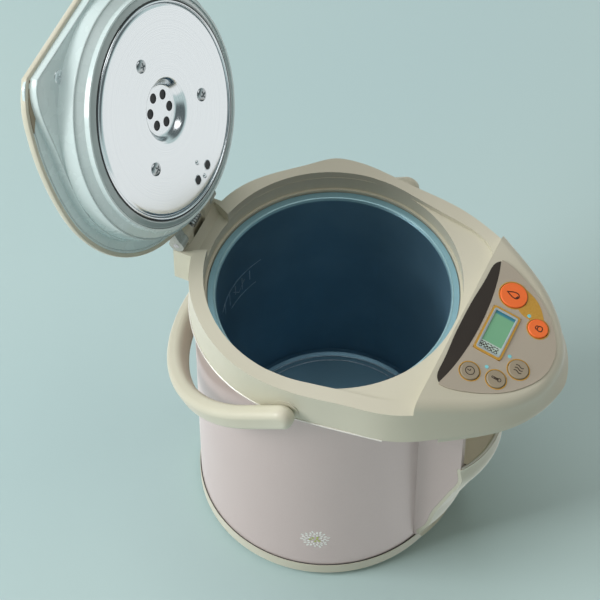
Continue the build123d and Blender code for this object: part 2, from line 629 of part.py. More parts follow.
def lid_shell():
    shell = lid_outer(0, 0) - lid_outer(WALL, WALL)
    pocket_x = (-LATCH_HALF - 0.6, LATCH_HALF + 0.6)
    tray_x = (-LATCH_HALF - 2, LATCH_HALF + 2)
    tray = block(tray_x, (LATCH_Y[0] - 0.5, LATCH_Y[1] + 1.5), (RIM_Z + LATCH_FLOOR_H - 1.6, RIM_Z + 60))
    shell += tray & lid_outer(0, 0)
    shell -= block(pocket_x, LATCH_Y, (RIM_Z + LATCH_FLOOR_H, RIM_Z + 60))
    shell -= rod(1.5, -LATCH_HALF - 1.4, LATCH_HALF + 1.4, LATCH_PIVOT[0], LATCH_PIVOT[1])
    return shell - disc(VENT_R + 0.2, RIM_Z + 30, RIM_Z + 60)


def lid_latch():
    """Lift lever at the lid's front, on two stub pivots."""
    y_low = LATCH_Y[0] + 0.6
    lever = block((-LATCH_HALF, LATCH_HALF), (y_low, LATCH_PIVOT[0]), (RIM_Z + 27.9, RIM_Z + 30.5))
    lever += rod(2.0, -LATCH_HALF, LATCH_HALF, *LATCH_PIVOT)
    lever += rod(1.5 - FIT, -LATCH_HALF - 1.2, LATCH_HALF + 1.2, *LATCH_PIVOT)
    return lever - block((-12, 12), (y_low - 1, y_low + 4), (RIM_Z + 20, RIM_Z + 29.2))


def vent_cap():
    """Slotted steam outlet in the lid's top."""
    cap = disc(VENT_R, RIM_Z + LID_TOP_H - 2.6, RIM_Z + LID_TOP_H + 0.6)
    cap = fillet(cap.faces().sort_by(Axis.Z)[-1].edges(), 1)
    for k in range(-2, 3):
        half = sqrt(11.5 ** 2 - (5 * k) ** 2)
        cap -= block((-half, half), (5 * k - 1, 5 * k + 1), (RIM_Z + 30, RIM_Z + 50))
    return cap


def steam_tube():
    """Steam passage from the plate's recess up to the cap."""
    low = RIM_Z + 0.5
    tube = ring(9.0, 7.2, low, RIM_Z + LID_TOP_H - 2.6)
    return tube + ring(27.0, 7.2, low, low + 1.6)


def lid_liner():
    """Stepped moulding under the lid: floor, skirt, ledge, second wall and outer flange."""
    t = WALL
    outline = [
        (24.0, -3.5), (71.5, -3.5), (71.5, -0.5), (77.2, -0.5), (77.3, LINER_FOOT_H), (LINER_FOOT_R, LINER_FOOT_H),
        (LINER_FOOT_R + 0.3, -0.6), (LINER_FOOT_R + 1.9, 0.9),
        (84.0, LINER_LEDGE_H), (LINER_WALL_R, LINER_LEDGE_H), (LINER_WALL_R + 1, LINER_FLANGE_H),
        (LINER_WALL_R + 4, LINER_FLANGE_H), (LINER_WALL_R + 4, LID_LIP_H), (LINER_WALL_R + 1 - t, LID_LIP_H),
        (LINER_WALL_R - t, LINER_LEDGE_H + t), (78.0, LINER_LEDGE_H), (76.8, 1.7), (70.0, 0.5), (24.0, 0.5),
    ]
    liner = turned([(r, RIM_Z + h) for r, h in outline])
    plug = lid_pocket(1.0, RIM_Z + 15.5, RIM_Z + LID_LIP_H - 0.4) - disc(LINER_WALL_R - 1.4, RIM_Z, RIM_Z + 60)
    rim = extrude(lid_outline(RIM_Z + LINER_FLANGE_H, 0.6), LID_LIP_H - LINER_FLANGE_H, dir=(0, 0, 1))
    liner += plug + (rim - disc(LINER_WALL_R - 1, RIM_Z, RIM_Z + 60))
    for x, y in PLATE_SCREWS:
        liner -= disc(1.5, RIM_Z - 10, RIM_Z - 0.6, x, y)
    for side in (-1, 1):
        low_x, high_x = sorted((side * KNUCKLE_X[0], side * KNUCKLE_X[1]))
        web = block((low_x, high_x), (91, LID_AXIS_Y), (RIM_Z + LINER_FLANGE_H, RIM_Z + LID_AXIS_H + 3))
        web -= lid_outer(0, 0)
        web += block((low_x, high_x), (91, 97), (RIM_Z + LINER_FLANGE_H, RIM_Z + LID_LIP_H))
        liner += web + rod(KNUCKLE_R, low_x, high_x, LID_AXIS_Y, RIM_Z + LID_AXIS_H)
    return liner - rod(PIN_R + FIT, -40, 40, LID_AXIS_Y, RIM_Z + LID_AXIS_H)


def inner_lid_plate():
    """Polished dish with a round steam recess."""
    t = SHEET
    low = PLATE_H
    outline = [
        (0, low + 5.5), (15.5, low + 5.5), (22, low), (68, low), (PLATE_R, low + 2.2), (PLATE_R, low + 2.5),
        (PLATE_R - 1, low + 2.5), (67.5, low + t), (22.4, low + t), (16.2, low + 5.5 + t * 0.4),
        (16, low + 6.0), (0, low + 6.0),
    ]
    plate = turned([(r, RIM_Z + h) for r, h in outline])
    for k in range(6):
        angle = radians(60 * k + 30)
        plate -= disc(STEAM_HOLE_R, RIM_Z - 9, RIM_Z + 9, STEAM_CIRCLE * cos(angle), STEAM_CIRCLE * sin(angle))
    for x, y in PLATE_SCREWS:
        plate -= disc(1.6, RIM_Z - 9, RIM_Z + 9, x, y)
    return plate


def plate_screws():
    screws = []
    for x, y in PLATE_SCREWS:
        screw = disc(4.5, RIM_Z + PLATE_H - 1.3, RIM_Z + PLATE_H, x, y)
        screw = fillet(screw.faces().sort_by(Axis.Z)[0].edges(), 0.8)
        screw += disc(1.4, RIM_Z + PLATE_H - 1, RIM_Z - 1, x, y)
        for turn in (0, 90):
            screw -= Pos(x, y, RIM_Z + PLATE_H - 1.2) * Rot(0, 0, turn) * Box(4.4, 0.9, 1.0)
        screws.append(screw)
    return Compound(children=screws)


def bead_ring():
    """Steel bead round the plate."""
    return ring(PLATE_R + 1.2, PLATE_R + 0.1, RIM_Z + PLATE_H, RIM_Z - 3.5)


def lid_gasket():
    """Silicone ring with a flared lip."""
    inner, outer = GASKET_R
    outline = [
        (inner, -0.5), (inner, -4.6), (inner + 1.6, -5.4), (outer, -3.2), (outer, -2.2), (inner + 3, -3.0),
        (inner + 3, -0.5),
    ]
    return turned([(r, RIM_Z + h) for r, h in outline])


# ---- hinge ----
def hinge_pin():
    pin = rod(PIN_R, -KNUCKLE_X[1] - 0.2, KNUCKLE_X[1] + 0.2, LID_AXIS_Y, RIM_Z + LID_AXIS_H)
    return pin


def hinge_spring():
    """Torsion spring round the pin, between the collar's lugs."""
    turns = []
    for k in range(5):
        x = -5.2 + 2.6 * k
        turns.append(rod(4.3, x - 1.0, x + 1.0, LID_AXIS_Y, RIM_Z + LID_AXIS_H))
    coil = rod(3.6, -6.2, 6.2, LID_AXIS_Y, RIM_Z + LID_AXIS_H)
    for turn in turns:
        coil += turn
    coil += block((-6.2, 6.2), (LID_AXIS_Y - 4.2, LID_AXIS_Y - 3.0), (RIM_Z + 8, RIM_Z + LID_AXIS_H))
    return coil - rod(PIN_R, -9, 9, LID_AXIS_Y, RIM_Z + LID_AXIS_H)


# ---- handle ----
def handle():
    """Bail: two straight arms and a half circle, hanging behind the body."""
    straight = HANDLE_REACH - HANDLE_HALF
    arms = [Line((side * HANDLE_HALF, 0, 0), (side * HANDLE_HALF, straight, 0)) for side in (-1, 1)]
    bow = ThreePointArc((-HANDLE_HALF, straight, 0), (0, HANDLE_REACH, 0), (HANDLE_HALF, straight, 0))
    path = Curve() + [arms[0], bow, Line((HANDLE_HALF, straight, 0), (HANDLE_HALF, 0, 0))]
    section = Plane(path @ 0, x_dir=(1, 0, 0), z_dir=(0, 1, 0)) * RectangleRounded(HANDLE_THICK, HANDLE_HIGH, HANDLE_ROUND)
    bail = sweep(section, path)
    for side in (-1, 1):
        x0 = side * HANDLE_HALF
        eye = rod(HANDLE_HIGH / 2, x0 - HANDLE_THICK / 2, x0 + HANDLE_THICK / 2, 0, 0)
        bail += fillet(eye.edges(), HANDLE_ROUND)
        inner_x = side * (HANDLE_HALF - HANDLE_THICK / 2 - 1)
        end_x = side * (HANDLE_HALF + 2.3)
        bail -= rod(PIVOT_R + FIT, min(inner_x, end_x), max(inner_x, end_x), 0, 0)
    return Pos(0, HANDLE_Y, RIM_Z + HANDLE_H) * Rot(-HANDLE_DROP, 0, 0) * bail


def handle_pivots():
    pins = []
    for side in (-1, 1):
        low_x, high_x = sorted((side * BODY_R, side * (HANDLE_HALF + 2)))
        pins.append(rod(PIVOT_R, low_x, high_x, HANDLE_Y, RIM_Z + HANDLE_H))
    return Compound(children=pins)


def power_board():
    """Board on four standoffs in the base, with its transformer, relay and capacitor."""
    board = block((-30, 30), (14, 50), (12, 13.6))
    for x in (-26, 26):
        for y in (18, 46):
            board += disc(2.5, BASE_Z + WALL, 12.5, x, y)
    board += block((-24, -4), (20, 40), (13, 22))
    board += block((2, 14), (20, 36), (13, 23))
    return board + disc(5, 13, 24, 22, 38)


STATIC = {
    "base_cover": base_cover, "rubber_feet": rubber_feet, "base_screws": base_screws, "chassis": chassis,
    "outer_shell": outer_shell, "power_inlet": power_inlet, "inlet_pins": inlet_pins,
    "power_board": power_board, "inner_vessel": inner_vessel, "vessel_seal": vessel_seal,
    "insulation_jacket": insulation_jacket, "heater_band": heater_band, "thermal_cutout": thermal_cutout,
    "pump_housing": pump_housing, "pump_motor": pump_motor, "pump_impeller": pump_impeller,
    "riser_tube": riser_tube, "spout_nozzle": spout_nozzle, "top_collar": top_collar,
    "nose_underside": nose_underside, "control_panel": control_panel, "panel_strip": panel_strip,
    "indicator_lenses": indicator_lenses, "lcd_frame": lcd_frame, "lcd_window": lcd_window,
    "lcd_module": lcd_module, "control_board": control_board, "neck_cover": neck_cover,
    "neck_trim": neck_trim, "gauge_window": gauge_window, "hinge_pin": hinge_pin,
    "hinge_spring": hinge_spring, "handle": handle, "handle_pivots": handle_pivots,
}

LID = {
    "lid_shell": lid_shell, "lid_liner": lid_liner, "lid_latch": lid_latch, "vent_cap": vent_cap,
    "steam_tube": steam_tube, "inner_lid_plate": inner_lid_plate, "plate_screws": plate_screws,
    "bead_ring": bead_ring, "lid_gasket": lid_gasket,
}

if __name__ == "__main__":
    os.makedirs("parts", exist_ok=True)
    for name, make in STATIC.items():
        save(name, make())
    for name, make in LID.items():
        save(name, make().rotate(LID_AXIS, -LID_OPEN))
    for name, (x, y, radius) in BUTTONS.items():
        save(name, button(x, y, radius))
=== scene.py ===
# %% [markdown]
# # An electric thermo pot with its lid open
#
# The pot keeps boiled water hot in a coated steel vessel and pumps it out under the nose. Its
# frame comes from the CAD model, in metres, with the origin on the floor under the vessel's axis,
# the nose towards -Y and the lid's hinge at +Y. This lesson dresses that frame: it lights it, gives
# every part its finish, and adds the thin prints, seams and soft forms that solids leave out.

# %% Load the frame
from math import cos, pi, radians, sin
import bmesh
import bpy
import numpy as np
from mathutils import Matrix, Vector


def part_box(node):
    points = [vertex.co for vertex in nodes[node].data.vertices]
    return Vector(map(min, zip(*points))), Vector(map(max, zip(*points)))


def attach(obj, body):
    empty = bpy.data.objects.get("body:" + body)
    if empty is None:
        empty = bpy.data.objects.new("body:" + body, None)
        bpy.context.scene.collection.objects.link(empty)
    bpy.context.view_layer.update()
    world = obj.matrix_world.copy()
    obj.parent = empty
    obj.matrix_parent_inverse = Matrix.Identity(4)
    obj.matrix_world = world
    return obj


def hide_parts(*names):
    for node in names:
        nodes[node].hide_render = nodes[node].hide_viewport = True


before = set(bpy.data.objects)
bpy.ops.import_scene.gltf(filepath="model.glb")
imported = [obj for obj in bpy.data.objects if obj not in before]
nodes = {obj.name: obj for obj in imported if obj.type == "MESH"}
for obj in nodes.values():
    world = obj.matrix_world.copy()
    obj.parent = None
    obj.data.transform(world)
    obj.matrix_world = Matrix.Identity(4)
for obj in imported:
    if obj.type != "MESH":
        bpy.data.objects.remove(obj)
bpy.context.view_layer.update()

# %% [markdown]
# ## The places that the pieces share
#
# The pieces added here sit on the CAD model's nodes. A few levels and axes are enough to place them
# all, and each is named once, in millimetres as on a drawing. Most upper parts hang from the plane
# of the vessel's rim, so the formulas below count heights from it.

# %% Places
mm = 0.001
rim = 222 * mm                        # plane of the vessel's rim
hinge_y, hinge_z = 104.4, 247.7       # the lid's axis
lid_open = radians(115)
seat_y, seat_z = -92.0, 248.0         # rear edge of the nose's sloping top
nose_tilt = radians(15)
shell_r, shell_y = 91.0, 4.0          # the round shell, whose axis lies behind the vessel's
collar_r = 97.6

# %% [markdown]
# ## Camera
#
# The pot is seen from high on its left side, from about two metres away with a long lens, so
# that circles stay nearly true ellipses and uprights lean together only a little. The camera's
# axes are written out as three vectors, which is easier to check than three angles.

# %% Camera
turn, rise, roll = radians(-65.455), radians(54.507), radians(-0.103)
away, aside, below = 2.1064, 0.022608, 0.005139     # metres from the middle of the rim
lens, sensor = 187.4, 36.0
back = np.array([sin(turn) * cos(rise), -cos(turn) * cos(rise), sin(rise)])
flat_right = np.array([cos(turn), sin(turn), 0.0])
flat_up = np.cross(back, flat_right)
right = flat_right * cos(roll) + flat_up * sin(roll)
up = flat_up * cos(roll) - flat_right * sin(roll)
stand = np.array([0, 0, rim]) + back * away - right * aside - up * below

camera = bpy.data.objects.new("camera", bpy.data.cameras.new("camera"))
bpy.context.scene.collection.objects.link(camera)
camera.data.lens, camera.data.sensor_width = lens, sensor
camera.data.clip_end = 30.0
camera_axes = np.column_stack([right, up, back, stand])
camera.matrix_world = Matrix(np.vstack([camera_axes, [0, 0, 0, 1]]).tolist())
bpy.context.scene.camera = camera
bpy.context.scene.view_settings.view_transform = "Standard"
print("camera at", np.round(stand, 3))

# %% [markdown]
# ## A short way to write shader sums
#
# A procedural finish is mostly arithmetic on positions. Written straight with nodes, each sum
# takes three lines, so one small class wraps a node's output and gives it the usual operators.

# %% The wire class
class Wire:
    """One output of a shader node, which adds, scales and compares like a number."""

    def __init__(self, tree, out):
        self.tree, self.out = tree, out

    def node(self, kind, settings=(), inputs=(), pick=0):
        """A new node in the same tree: its settings first, then socket values or wires."""
        made = self.tree.nodes.new("ShaderNode" + kind)
        for key, value in dict(settings).items():
            setattr(made, key, value)
        for key, value in dict(inputs).items():
            if isinstance(value, Wire):
                self.tree.links.new(value.out, made.inputs[key])
            else:
                made.inputs[key].default_value = value
        return Wire(self.tree, made.outputs[pick])

    def math(self, operation, *terms):
        return self.node("Math", {"operation": operation}, dict(enumerate(terms)))

    def __add__(self, other): return self.math("ADD", self, other)
    def __radd__(self, other): return self.math("ADD", other, self)
    def __sub__(self, other): return self.math("SUBTRACT", self, other)
    def __rsub__(self, other): return self.math("SUBTRACT", other, self)
    def __mul__(self, other): return self.math("MULTIPLY", self, other)
    def __rmul__(self, other): return self.math("MULTIPLY", other, self)
    def __pow__(self, other): return self.math("POWER", self, other)
    def __abs__(self): return self.math("ABSOLUTE", self)

    def root(self): return self.math("SQRT", self)
    def part(self): return self.math("FRACT", self)
    def most(self, other): return self.math("MAXIMUM", self, other)

    def step(self, low, high, start=0.0, end=1.0):
        """Smooth rise from start to end as this wire goes from low to high."""
        return self.node("MapRange", {"interpolation_type": "SMOOTHSTEP"},
                         {0: self, 1: low, 2: high, 3: start, 4: end})

    def band(self, low, high, soft):
        """One inside the band from low to high, nought outside, with soft edges."""
        return self.step(low - soft, low + soft) * (1.0 - self.step(high - soft, high + soft))

    def blend(self, first, second):
        """Colour that goes from first to second as this wire goes from 0 to 1."""
        return self.node("Mix", {"data_type": "RGBA"}, {0: self, 6: first, 7: second}, pick=2)

    def axes(self):
        """The three coordinates of a vector, as three wires."""
        made = self.tree.nodes.new("ShaderNodeSeparateXYZ")
        self.tree.links.new(self.out, made.inputs[0])
        return [Wire(self.tree, out) for out in made.outputs]

    def noise(self, scale, detail=2.0, rough=0.5):
        """Cloudy pattern, about 0.5 on average, with this many waves to the metre."""
        return self.node("TexNoise", {}, {"Vector": self, "Scale": scale, "Detail": detail,
                                          "Roughness": rough})

    def flakes(self, scale):
        """A value of its own for each small cell, with this many cells to the metre."""
        return self.node("TexVoronoi", {}, {"Vector": self, "Scale": scale}, "Color").axes()[0]


def colour(red, green, blue):
    """Linear colour from display values of 0 to 255, the way a swatch is read off."""
    share = np.array([red, green, blue]) / 255.0
    line = np.where(share > 0.04045, ((share + 0.055) / 1.055) ** 2.4, share / 12.92)
    return (*line.tolist(), 1.0)


print("mid grey is", np.round(colour(128, 128, 128), 3).tolist())

# %% [markdown]
# ## A finish
#
# Most finishes have the same bones: a colour that drifts between two close swatches, and a fine
# grain that drives the height and often the roughness. The class gives each a name, and what is
# special about a finish stays in its own cell. Grain comes from bump and not from moved points,
# because it is far finer than any mesh here.

# %% The finish class
middle_part = (0.3, 0.7)      # the part of a noise's range that holds nearly all of it


class Finish:
    """A material under construction: its shader, its place wire, and constants on the shader."""

    def __init__(self, name, base, rough, **constants):
        self.material = bpy.data.materials.new(name)
        self.material.use_nodes = True
        self.tree = self.material.node_tree
        self.shader = self.tree.nodes["Principled BSDF"]
        self.place = Wire(self.tree, self.tree.nodes.new("ShaderNodeTexCoord").outputs["Object"])
        self.material.diffuse_color = base
        self.set("Base Color", base).set("Roughness", rough)
        for key, value in constants.items():
            self.set(key.replace("_", " "), value)

    def set(self, socket, value):
        if isinstance(value, Wire):
            self.tree.links.new(value.out, self.shader.inputs[socket])
        else:
            self.shader.inputs[socket].default_value = value
        return self

    def bump(self, height, deep, strength=0.5):
        """Relief from a height wire between 0 and 1, this many millimetres deep."""
        relief = {"Strength": strength, "Distance": deep * mm, "Height": height}
        return self.set("Normal", self.place.node("Bump", {}, relief))

    def cloud(self, scale, low, high, detail=2.0, span=None):
        """Colour that drifts between two swatches, with this many waves to the metre.

        Where a span is given, the noise covers the whole drift within that part of its range.
        """
        noise = self.place.noise(scale, detail)
        drift = noise.step(*span) if span else noise
        return self.set("Base Color", drift.blend(colour(*low), colour(*high)))

    def grain(self, scale, deep, strength=0.5, detail=2.0, rough=None):
        """Fine relief from a noise; where a range is given, the roughness goes with it."""
        noise = self.place.noise(scale, detail)
        if rough:
            self.set("Roughness", noise.step(*middle_part, *rough))
        return self.bump(noise, deep, strength)


def shade(finish, *names):
    """Gives a finish to CAD nodes, in every slot they have."""
    for name in names:
        slots = nodes[name].material_slots
        if not slots:
            nodes[name].data.materials.append(finish.material)
        for slot in slots:
            slot.material = finish.material
    print(finish.material.name, "on", ", ".join(names))


# %% [markdown]
# ## From a formula to a mesh
#
# Every piece added below is a grid of points: a profile that turns round an axis, or a section
# that is carried along a line. One function turns such grids into a mesh. It joins neighbours with
# quads, closes the directions that run round, merges the points that meet at a pole or a seam, and
# points all faces outwards, so that each piece is a closed skin like a moulded or pressed part.

# %% Grid to mesh
def skin(name, grids, finish, body="body", wrap=(True, True), crease=40.0):
    """Mesh over one or more grids of points in metres, each of shape (rows, columns, 3).

    Point (i, j) shares a quad with (i+1, j), (i+1, j+1) and (i, j+1); a wrapped direction also
    joins its last line to its first. Edges that turn by more than the crease angle stay sharp.
    """
    places, quads, used = [], [], 0
    for points in grids if isinstance(grids, list) else [grids]:
        rows, columns = points.shape[:2]
        index = np.arange(rows * columns).reshape(rows, columns) + used
        if wrap[0]:
            index = np.vstack([index, index[:1]])
        if wrap[1]:
            index = np.hstack([index, index[:, :1]])
        corners = [index[:-1, :-1], index[1:, :-1], index[1:, 1:], index[:-1, 1:]]
        quads.append(np.stack(corners, -1).reshape(-1, 4))
        places.append(points.reshape(-1, 3))
        used += rows * columns
    mesh = bpy.data.meshes.new(name)
    mesh.from_pydata(np.vstack(places).tolist(), [], np.vstack(quads).tolist())
    work = bmesh.new()
    work.from_mesh(mesh)
    bmesh.ops.remove_doubles(work, verts=work.verts, dist=1e-6)
    bmesh.ops.recalc_face_normals(work, faces=work.faces)
    work.to_mesh(mesh)
    work.free()
    mesh.shade_smooth()
    mesh.set_sharp_from_angle(angle=radians(crease))
    mesh.materials.append(finish.material)
    made = bpy.data.objects.new(name, mesh)
    bpy.context.scene.collection.objects.link(made)
    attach(made, body)
    print(name, "faces:", len(mesh.polygons))
    return made


# %% [markdown]
# ## Drawing flat and then tilting
#
# The lid is drawn as it lies when it is closed, and the panel as if the nose's top were level,
# because a level drawing has round numbers and can be checked. A turn about one line then brings
# each to its place. The turns are written out, so they work on whole arrays of points at once.

# %% Frames of the tilted parts
def swung(points):
    """Places in millimetres on the closed lid, brought to the open lid in metres.

    The lid turns about the hinge's line, which is parallel to X: y and z, counted from that line,
    turn by the opening angle, and x stays.
    """
    x, y, z = np.moveaxis(points, -1, 0)
    y, z = y - hinge_y, z + rim / mm - hinge_z
    return np.stack([x, hinge_y + y * cos(lid_open) + z * sin(lid_open),
                     hinge_z - y * sin(lid_open) + z * cos(lid_open)], -1) * mm


def sloped(points):
    """Places in millimetres on a level panel, brought to the nose's sloping top in metres.

    The nose's top turns about its rear edge; the third number is the height above that top.
    """
    x, y, z = np.moveaxis(points, -1, 0)
    y = y - seat_y
    return np.stack([x, seat_y + y * cos(nose_tilt) - z * sin(nose_tilt),
                     seat_z + y * sin(nose_tilt) + z * cos(nose_tilt)], -1) * mm


def upright(points):
    """Places in millimetres with the height counted from the rim, in metres."""
    return (points + np.array([0, 0, rim / mm])) * mm


# %% [markdown]
# ## Lines and sections
#
# Beads, rings, trims and printed lines are all a small section carried along a line, as an
# extruder or a pen makes them. Lines through given points, circles and arcs are one set of
# helpers. Sections and the ways to carry them are the other.

# %% Lines
def polar(radius, angle, *more):
    """Places from a radius and an angle: the radius times the cosine, times the sine, and more."""
    return np.stack(np.broadcast_arrays(radius * np.cos(angle), radius * np.sin(angle), *more), -1)


def full_turn(count):
    """Even angles once round, without the last, which is the first again."""
    return np.linspace(0, 2 * pi, count, endpoint=False)


def circle(x, y, radius, count=64):
    """Even points on a circle: a full turn of polar places, moved to the middle."""
    return polar(radius, full_turn(count)) + [x, y]


def arc(x, y, radius, start, end, count=24):
    """Even points on an arc: polar places between two angles in degrees, moved to the middle."""
    return polar(radius, np.radians(np.linspace(start, end, count))) + [x, y]


def smooth_line(points, count):
    """Even points on a curve through the given ones: cubic pieces whose slope at a point is that
    of the chord between its neighbours."""
    points = np.asarray(points, float)
    knots = np.concatenate([[0], np.cumsum(np.linalg.norm(np.diff(points, axis=0), axis=1))])
    slopes = np.gradient(points, knots, axis=0)
    spots = np.linspace(0, knots[-1], count)
    k = np.clip(np.searchsorted(knots, spots, side="right") - 1, 0, len(knots) - 2)
    span = (knots[k + 1] - knots[k])[:, None]
    t = (spots - knots[k])[:, None] / span
    return ((2 * t ** 3 - 3 * t ** 2 + 1) * points[k] + (t ** 3 - 2 * t ** 2 + t) * span * slopes[k]
            + (3 * t ** 2 - 2 * t ** 3) * points[k + 1] + (t ** 3 - t ** 2) * span * slopes[k + 1])


def eased(points, times=2, closed=True):
    """Corner cutting: each side keeps its middle half, between new points."""
    points = np.asarray(points, float)
    for _ in range(times):
        after = np.roll(points, -1, axis=0)
        cut = np.stack([points * 0.75 + after * 0.25, points * 0.25 + after * 0.75], 1)
        cut = cut.reshape(-1, points.shape[1])
        points = cut if closed else np.vstack([points[:1], cut[:-2], points[-1:]])
    return points


def mirrored(line):
    """A line on the right side and its mirror image, joined to one line across the middle."""
    return np.vstack([line, line[::-1] * [-1, 1]])


def unit(vectors):
    """The same directions with a length of one."""
    return vectors / np.linalg.norm(vectors, axis=-1, keepdims=True)


def heading(line, closed=True):
    """The way a line runs at each point: from the point before it to the point after it."""
    if closed:
        return np.roll(line, -1, axis=0) - np.roll(line, 1, axis=0)
    return np.gradient(line, axis=0)


def sideways(along):
    """Unit normals to directions in plan: the coordinates change places and one its sign."""
    return unit(np.column_stack([along[:, 1], -along[:, 0]]))


print("a quarter of a unit circle ends at", np.round(arc(0, 0, 1, 0, 90)[-1], 3))

# %% Sections and how they are carried
def strip(width, foot, top):
    """Section of a flat printed or pressed line, from its foot to its top."""
    return [(-width / 2, foot), (width / 2, foot), (width / 2, top), (-width / 2, top)]


def bead(wide, high, x=0.0, z=0.0, count=12):
    """Oval section, this wide and high, about a middle."""
    return np.column_stack([x, z]) + circle(0, 0, 1, count) * [wide / 2, high / 2]


def turned(profile, count=144):
    """Grid of a closed profile of radius and height that turns once round the upright axis."""
    radius, height = np.asarray(profile, float).T
    return polar(radius, full_turn(count)[:, None], height)


def capped(grid):
    """A carried section with one more row at each end, gathered in the section's middle."""
    ends = grid[[0, -1]].mean(1, keepdims=True).repeat(grid.shape[1], 1)
    return np.vstack([ends[:1], grid, ends[1:]])


def moulding(line, section, closed=True):
    """Grid of a section carried along a line in plan.

    At each point of the line the section's first number goes out along the line's normal and its
    second up. An open line is capped.
    """
    line, section = np.asarray(line, float), np.asarray(section, float)
    normal = sideways(heading(line, closed))
    plan = line[:, None, :] + normal[:, None, :] * section[None, :, :1]
    height = np.broadcast_to(section[None, :, 1:], (*plan.shape[:2], 1))
    grid = np.concatenate([plan, height], -1)
    return grid if closed else capped(grid)


def levels(rings, axis=0):
    """Grid from closed or open lines in plan, each at a level of its own."""
    return np.stack([np.insert(ring, 2, level, axis=1) for ring, level in rings], axis)


def plate(outline, foot, top):
    """Grid of a thin plate on an outline that its middle sees whole: middle, foot, top, middle."""
    outline = np.asarray(outline, float)
    middle = np.broadcast_to(outline.mean(0), outline.shape)
    return levels([(middle, foot), (outline, foot), (outline, top), (middle, top)])


print("a moulding round a circle has shape", moulding(circle(0, 0, 10), strip(1, 0, 1)).shape)

# %% [markdown]
# ## Floor
#
# A product like this is shown on a seamless pale sweep. The floor is one wide disc whose colour
# matches the world behind it, so that a low view has no horizon. Polished steel would mirror the
# shaded floor as dark blotches, so rays from mirrors see it evenly lit instead.

# %% Floor
sweep = Finish("sweep_paper", colour(176, 203, 203), 0.85)
sweep.cloud(1.3, (184, 211, 213), (192, 216, 214), span=middle_part)
sweep.grain(900.0, 0.05, 1.0, 3.0)
lit_paper = sweep.place.node("Emission", {}, {"Color": colour(249, 252, 252), "Strength": 1.0})
from_mirror = sweep.place.node("LightPath", pick="Is Glossy Ray")
plain_paper = Wire(sweep.tree, sweep.shader.outputs[0])
paper = sweep.place.node("MixShader", {}, {0: from_mirror, 1: plain_paper, 2: lit_paper})
sweep.tree.links.new(paper.out, sweep.tree.nodes["Material Output"].inputs["Surface"])

floor_r, floor_sides = 8, 96
floor_rim = np.column_stack([circle(0, 0, floor_r, floor_sides), np.zeros(floor_sides)])
floor_mesh = bpy.data.meshes.new("floor")
floor_mesh.from_pydata(floor_rim.tolist(), [], [list(range(floor_sides))])
floor = bpy.data.objects.new("floor", floor_mesh)
bpy.context.scene.collection.objects.link(floor)
floor_mesh.materials.append(sweep.material)
print("floor radius in metres:", floor_r)

# %% [markdown]
# ## Backdrop and light
#
# Large soft boxes give satin plastic long gentle highlights, and they stay weak enough that a
# colour shows about as it is written. The world is the backdrop's colour to the camera and to
# mirrors, and otherwise a dim warm white that fills the shadows. Mirrors that look up find it
# darker there, like a room above the lamps, which is what makes polished steel look like steel.

# %% World and lamps
ambient = 0.26
world = bpy.data.worlds.new("studio")
bpy.context.scene.world = world
world.use_nodes = True
tree = world.node_tree
path = tree.nodes.new("ShaderNodeLightPath")
seen, in_mirror, through = [Wire(tree, path.outputs[f"Is {kind} Ray"])
                            for kind in ("Camera", "Glossy", "Transmission")]
shown = seen.most(in_mirror).most(through)
direction = Wire(tree, tree.nodes.new("ShaderNodeTexCoord").outputs["Generated"])
overhead = in_mirror * direction.axes()[2].step(0.25, 0.6)
around = shown.blend((1.0, 0.96, 0.9, 1.0), colour(196, 214, 214))
backdrop = tree.nodes["Background"]
tree.links.new(overhead.blend(around, colour(96, 106, 108)).out, backdrop.inputs["Color"])
tree.links.new(shown.step(0, 1, ambient, 1.0).out, backdrop.inputs["Strength"])


def softbox(name, place, aim, size, watts):
    """Square area lamp at a place, turned towards the point it aims at, all in metres."""
    lamp = bpy.data.lights.new(name, "AREA")
    lamp.size, lamp.energy = size, watts
    made = bpy.data.objects.new(name, lamp)
    bpy.context.scene.collection.objects.link(made)
    made.location = place
    made.rotation_euler = (Vector(aim) - Vector(place)).to_track_quat("-Z", "Y").to_euler()


softbox("key", (-2.2, 3.0, 2.6), (0, 0, 0.12), 2.2, 150)
softbox("top", (0.6, 0.6, 4.4), (0, 0, 0.2), 2.9, 56)

# %% [markdown]
# ## Beige mouldings
#
# The collar, nose, lid, latch and handle are injection moulded in one warm grey-beige, with a
# satin skin from a spark-eroded tool: matt close up, softly glossy from afar. Two noises do it,
# one far finer than a millimetre for the skin, and a broad one that shifts the colour a little.

# %% Beige finish
beige = Finish("beige_plastic", colour(204, 201, 183), 0.38, IOR=1.46)
beige.cloud(14.0, (206, 203, 183), (212, 209, 190), span=middle_part)
beige.set("Roughness", beige.place.noise(60.0, 3.0).step(0.25, 0.75, 0.34, 0.44))
beige.bump(beige.place.noise(3200.0, 2.0, 0.6), 0.04, 0.6)
shade(beige, "top_collar", "lid_shell", "lid_latch", "vent_cap", "handle", "handle_pivots",
      "neck_trim", "base_cover", "spout_nozzle", "nose_underside")

# %% [markdown]
# ## Pearl body
#
# The outer shell is sheet steel with a pearl coat: a pinkish grey that turns lighter where it
# faces the lamp. A plain gloss would look like enamel. So part of the shader is metallic, fine
# cells tilt like the flakes in the paint, and a clear coat lies over it.

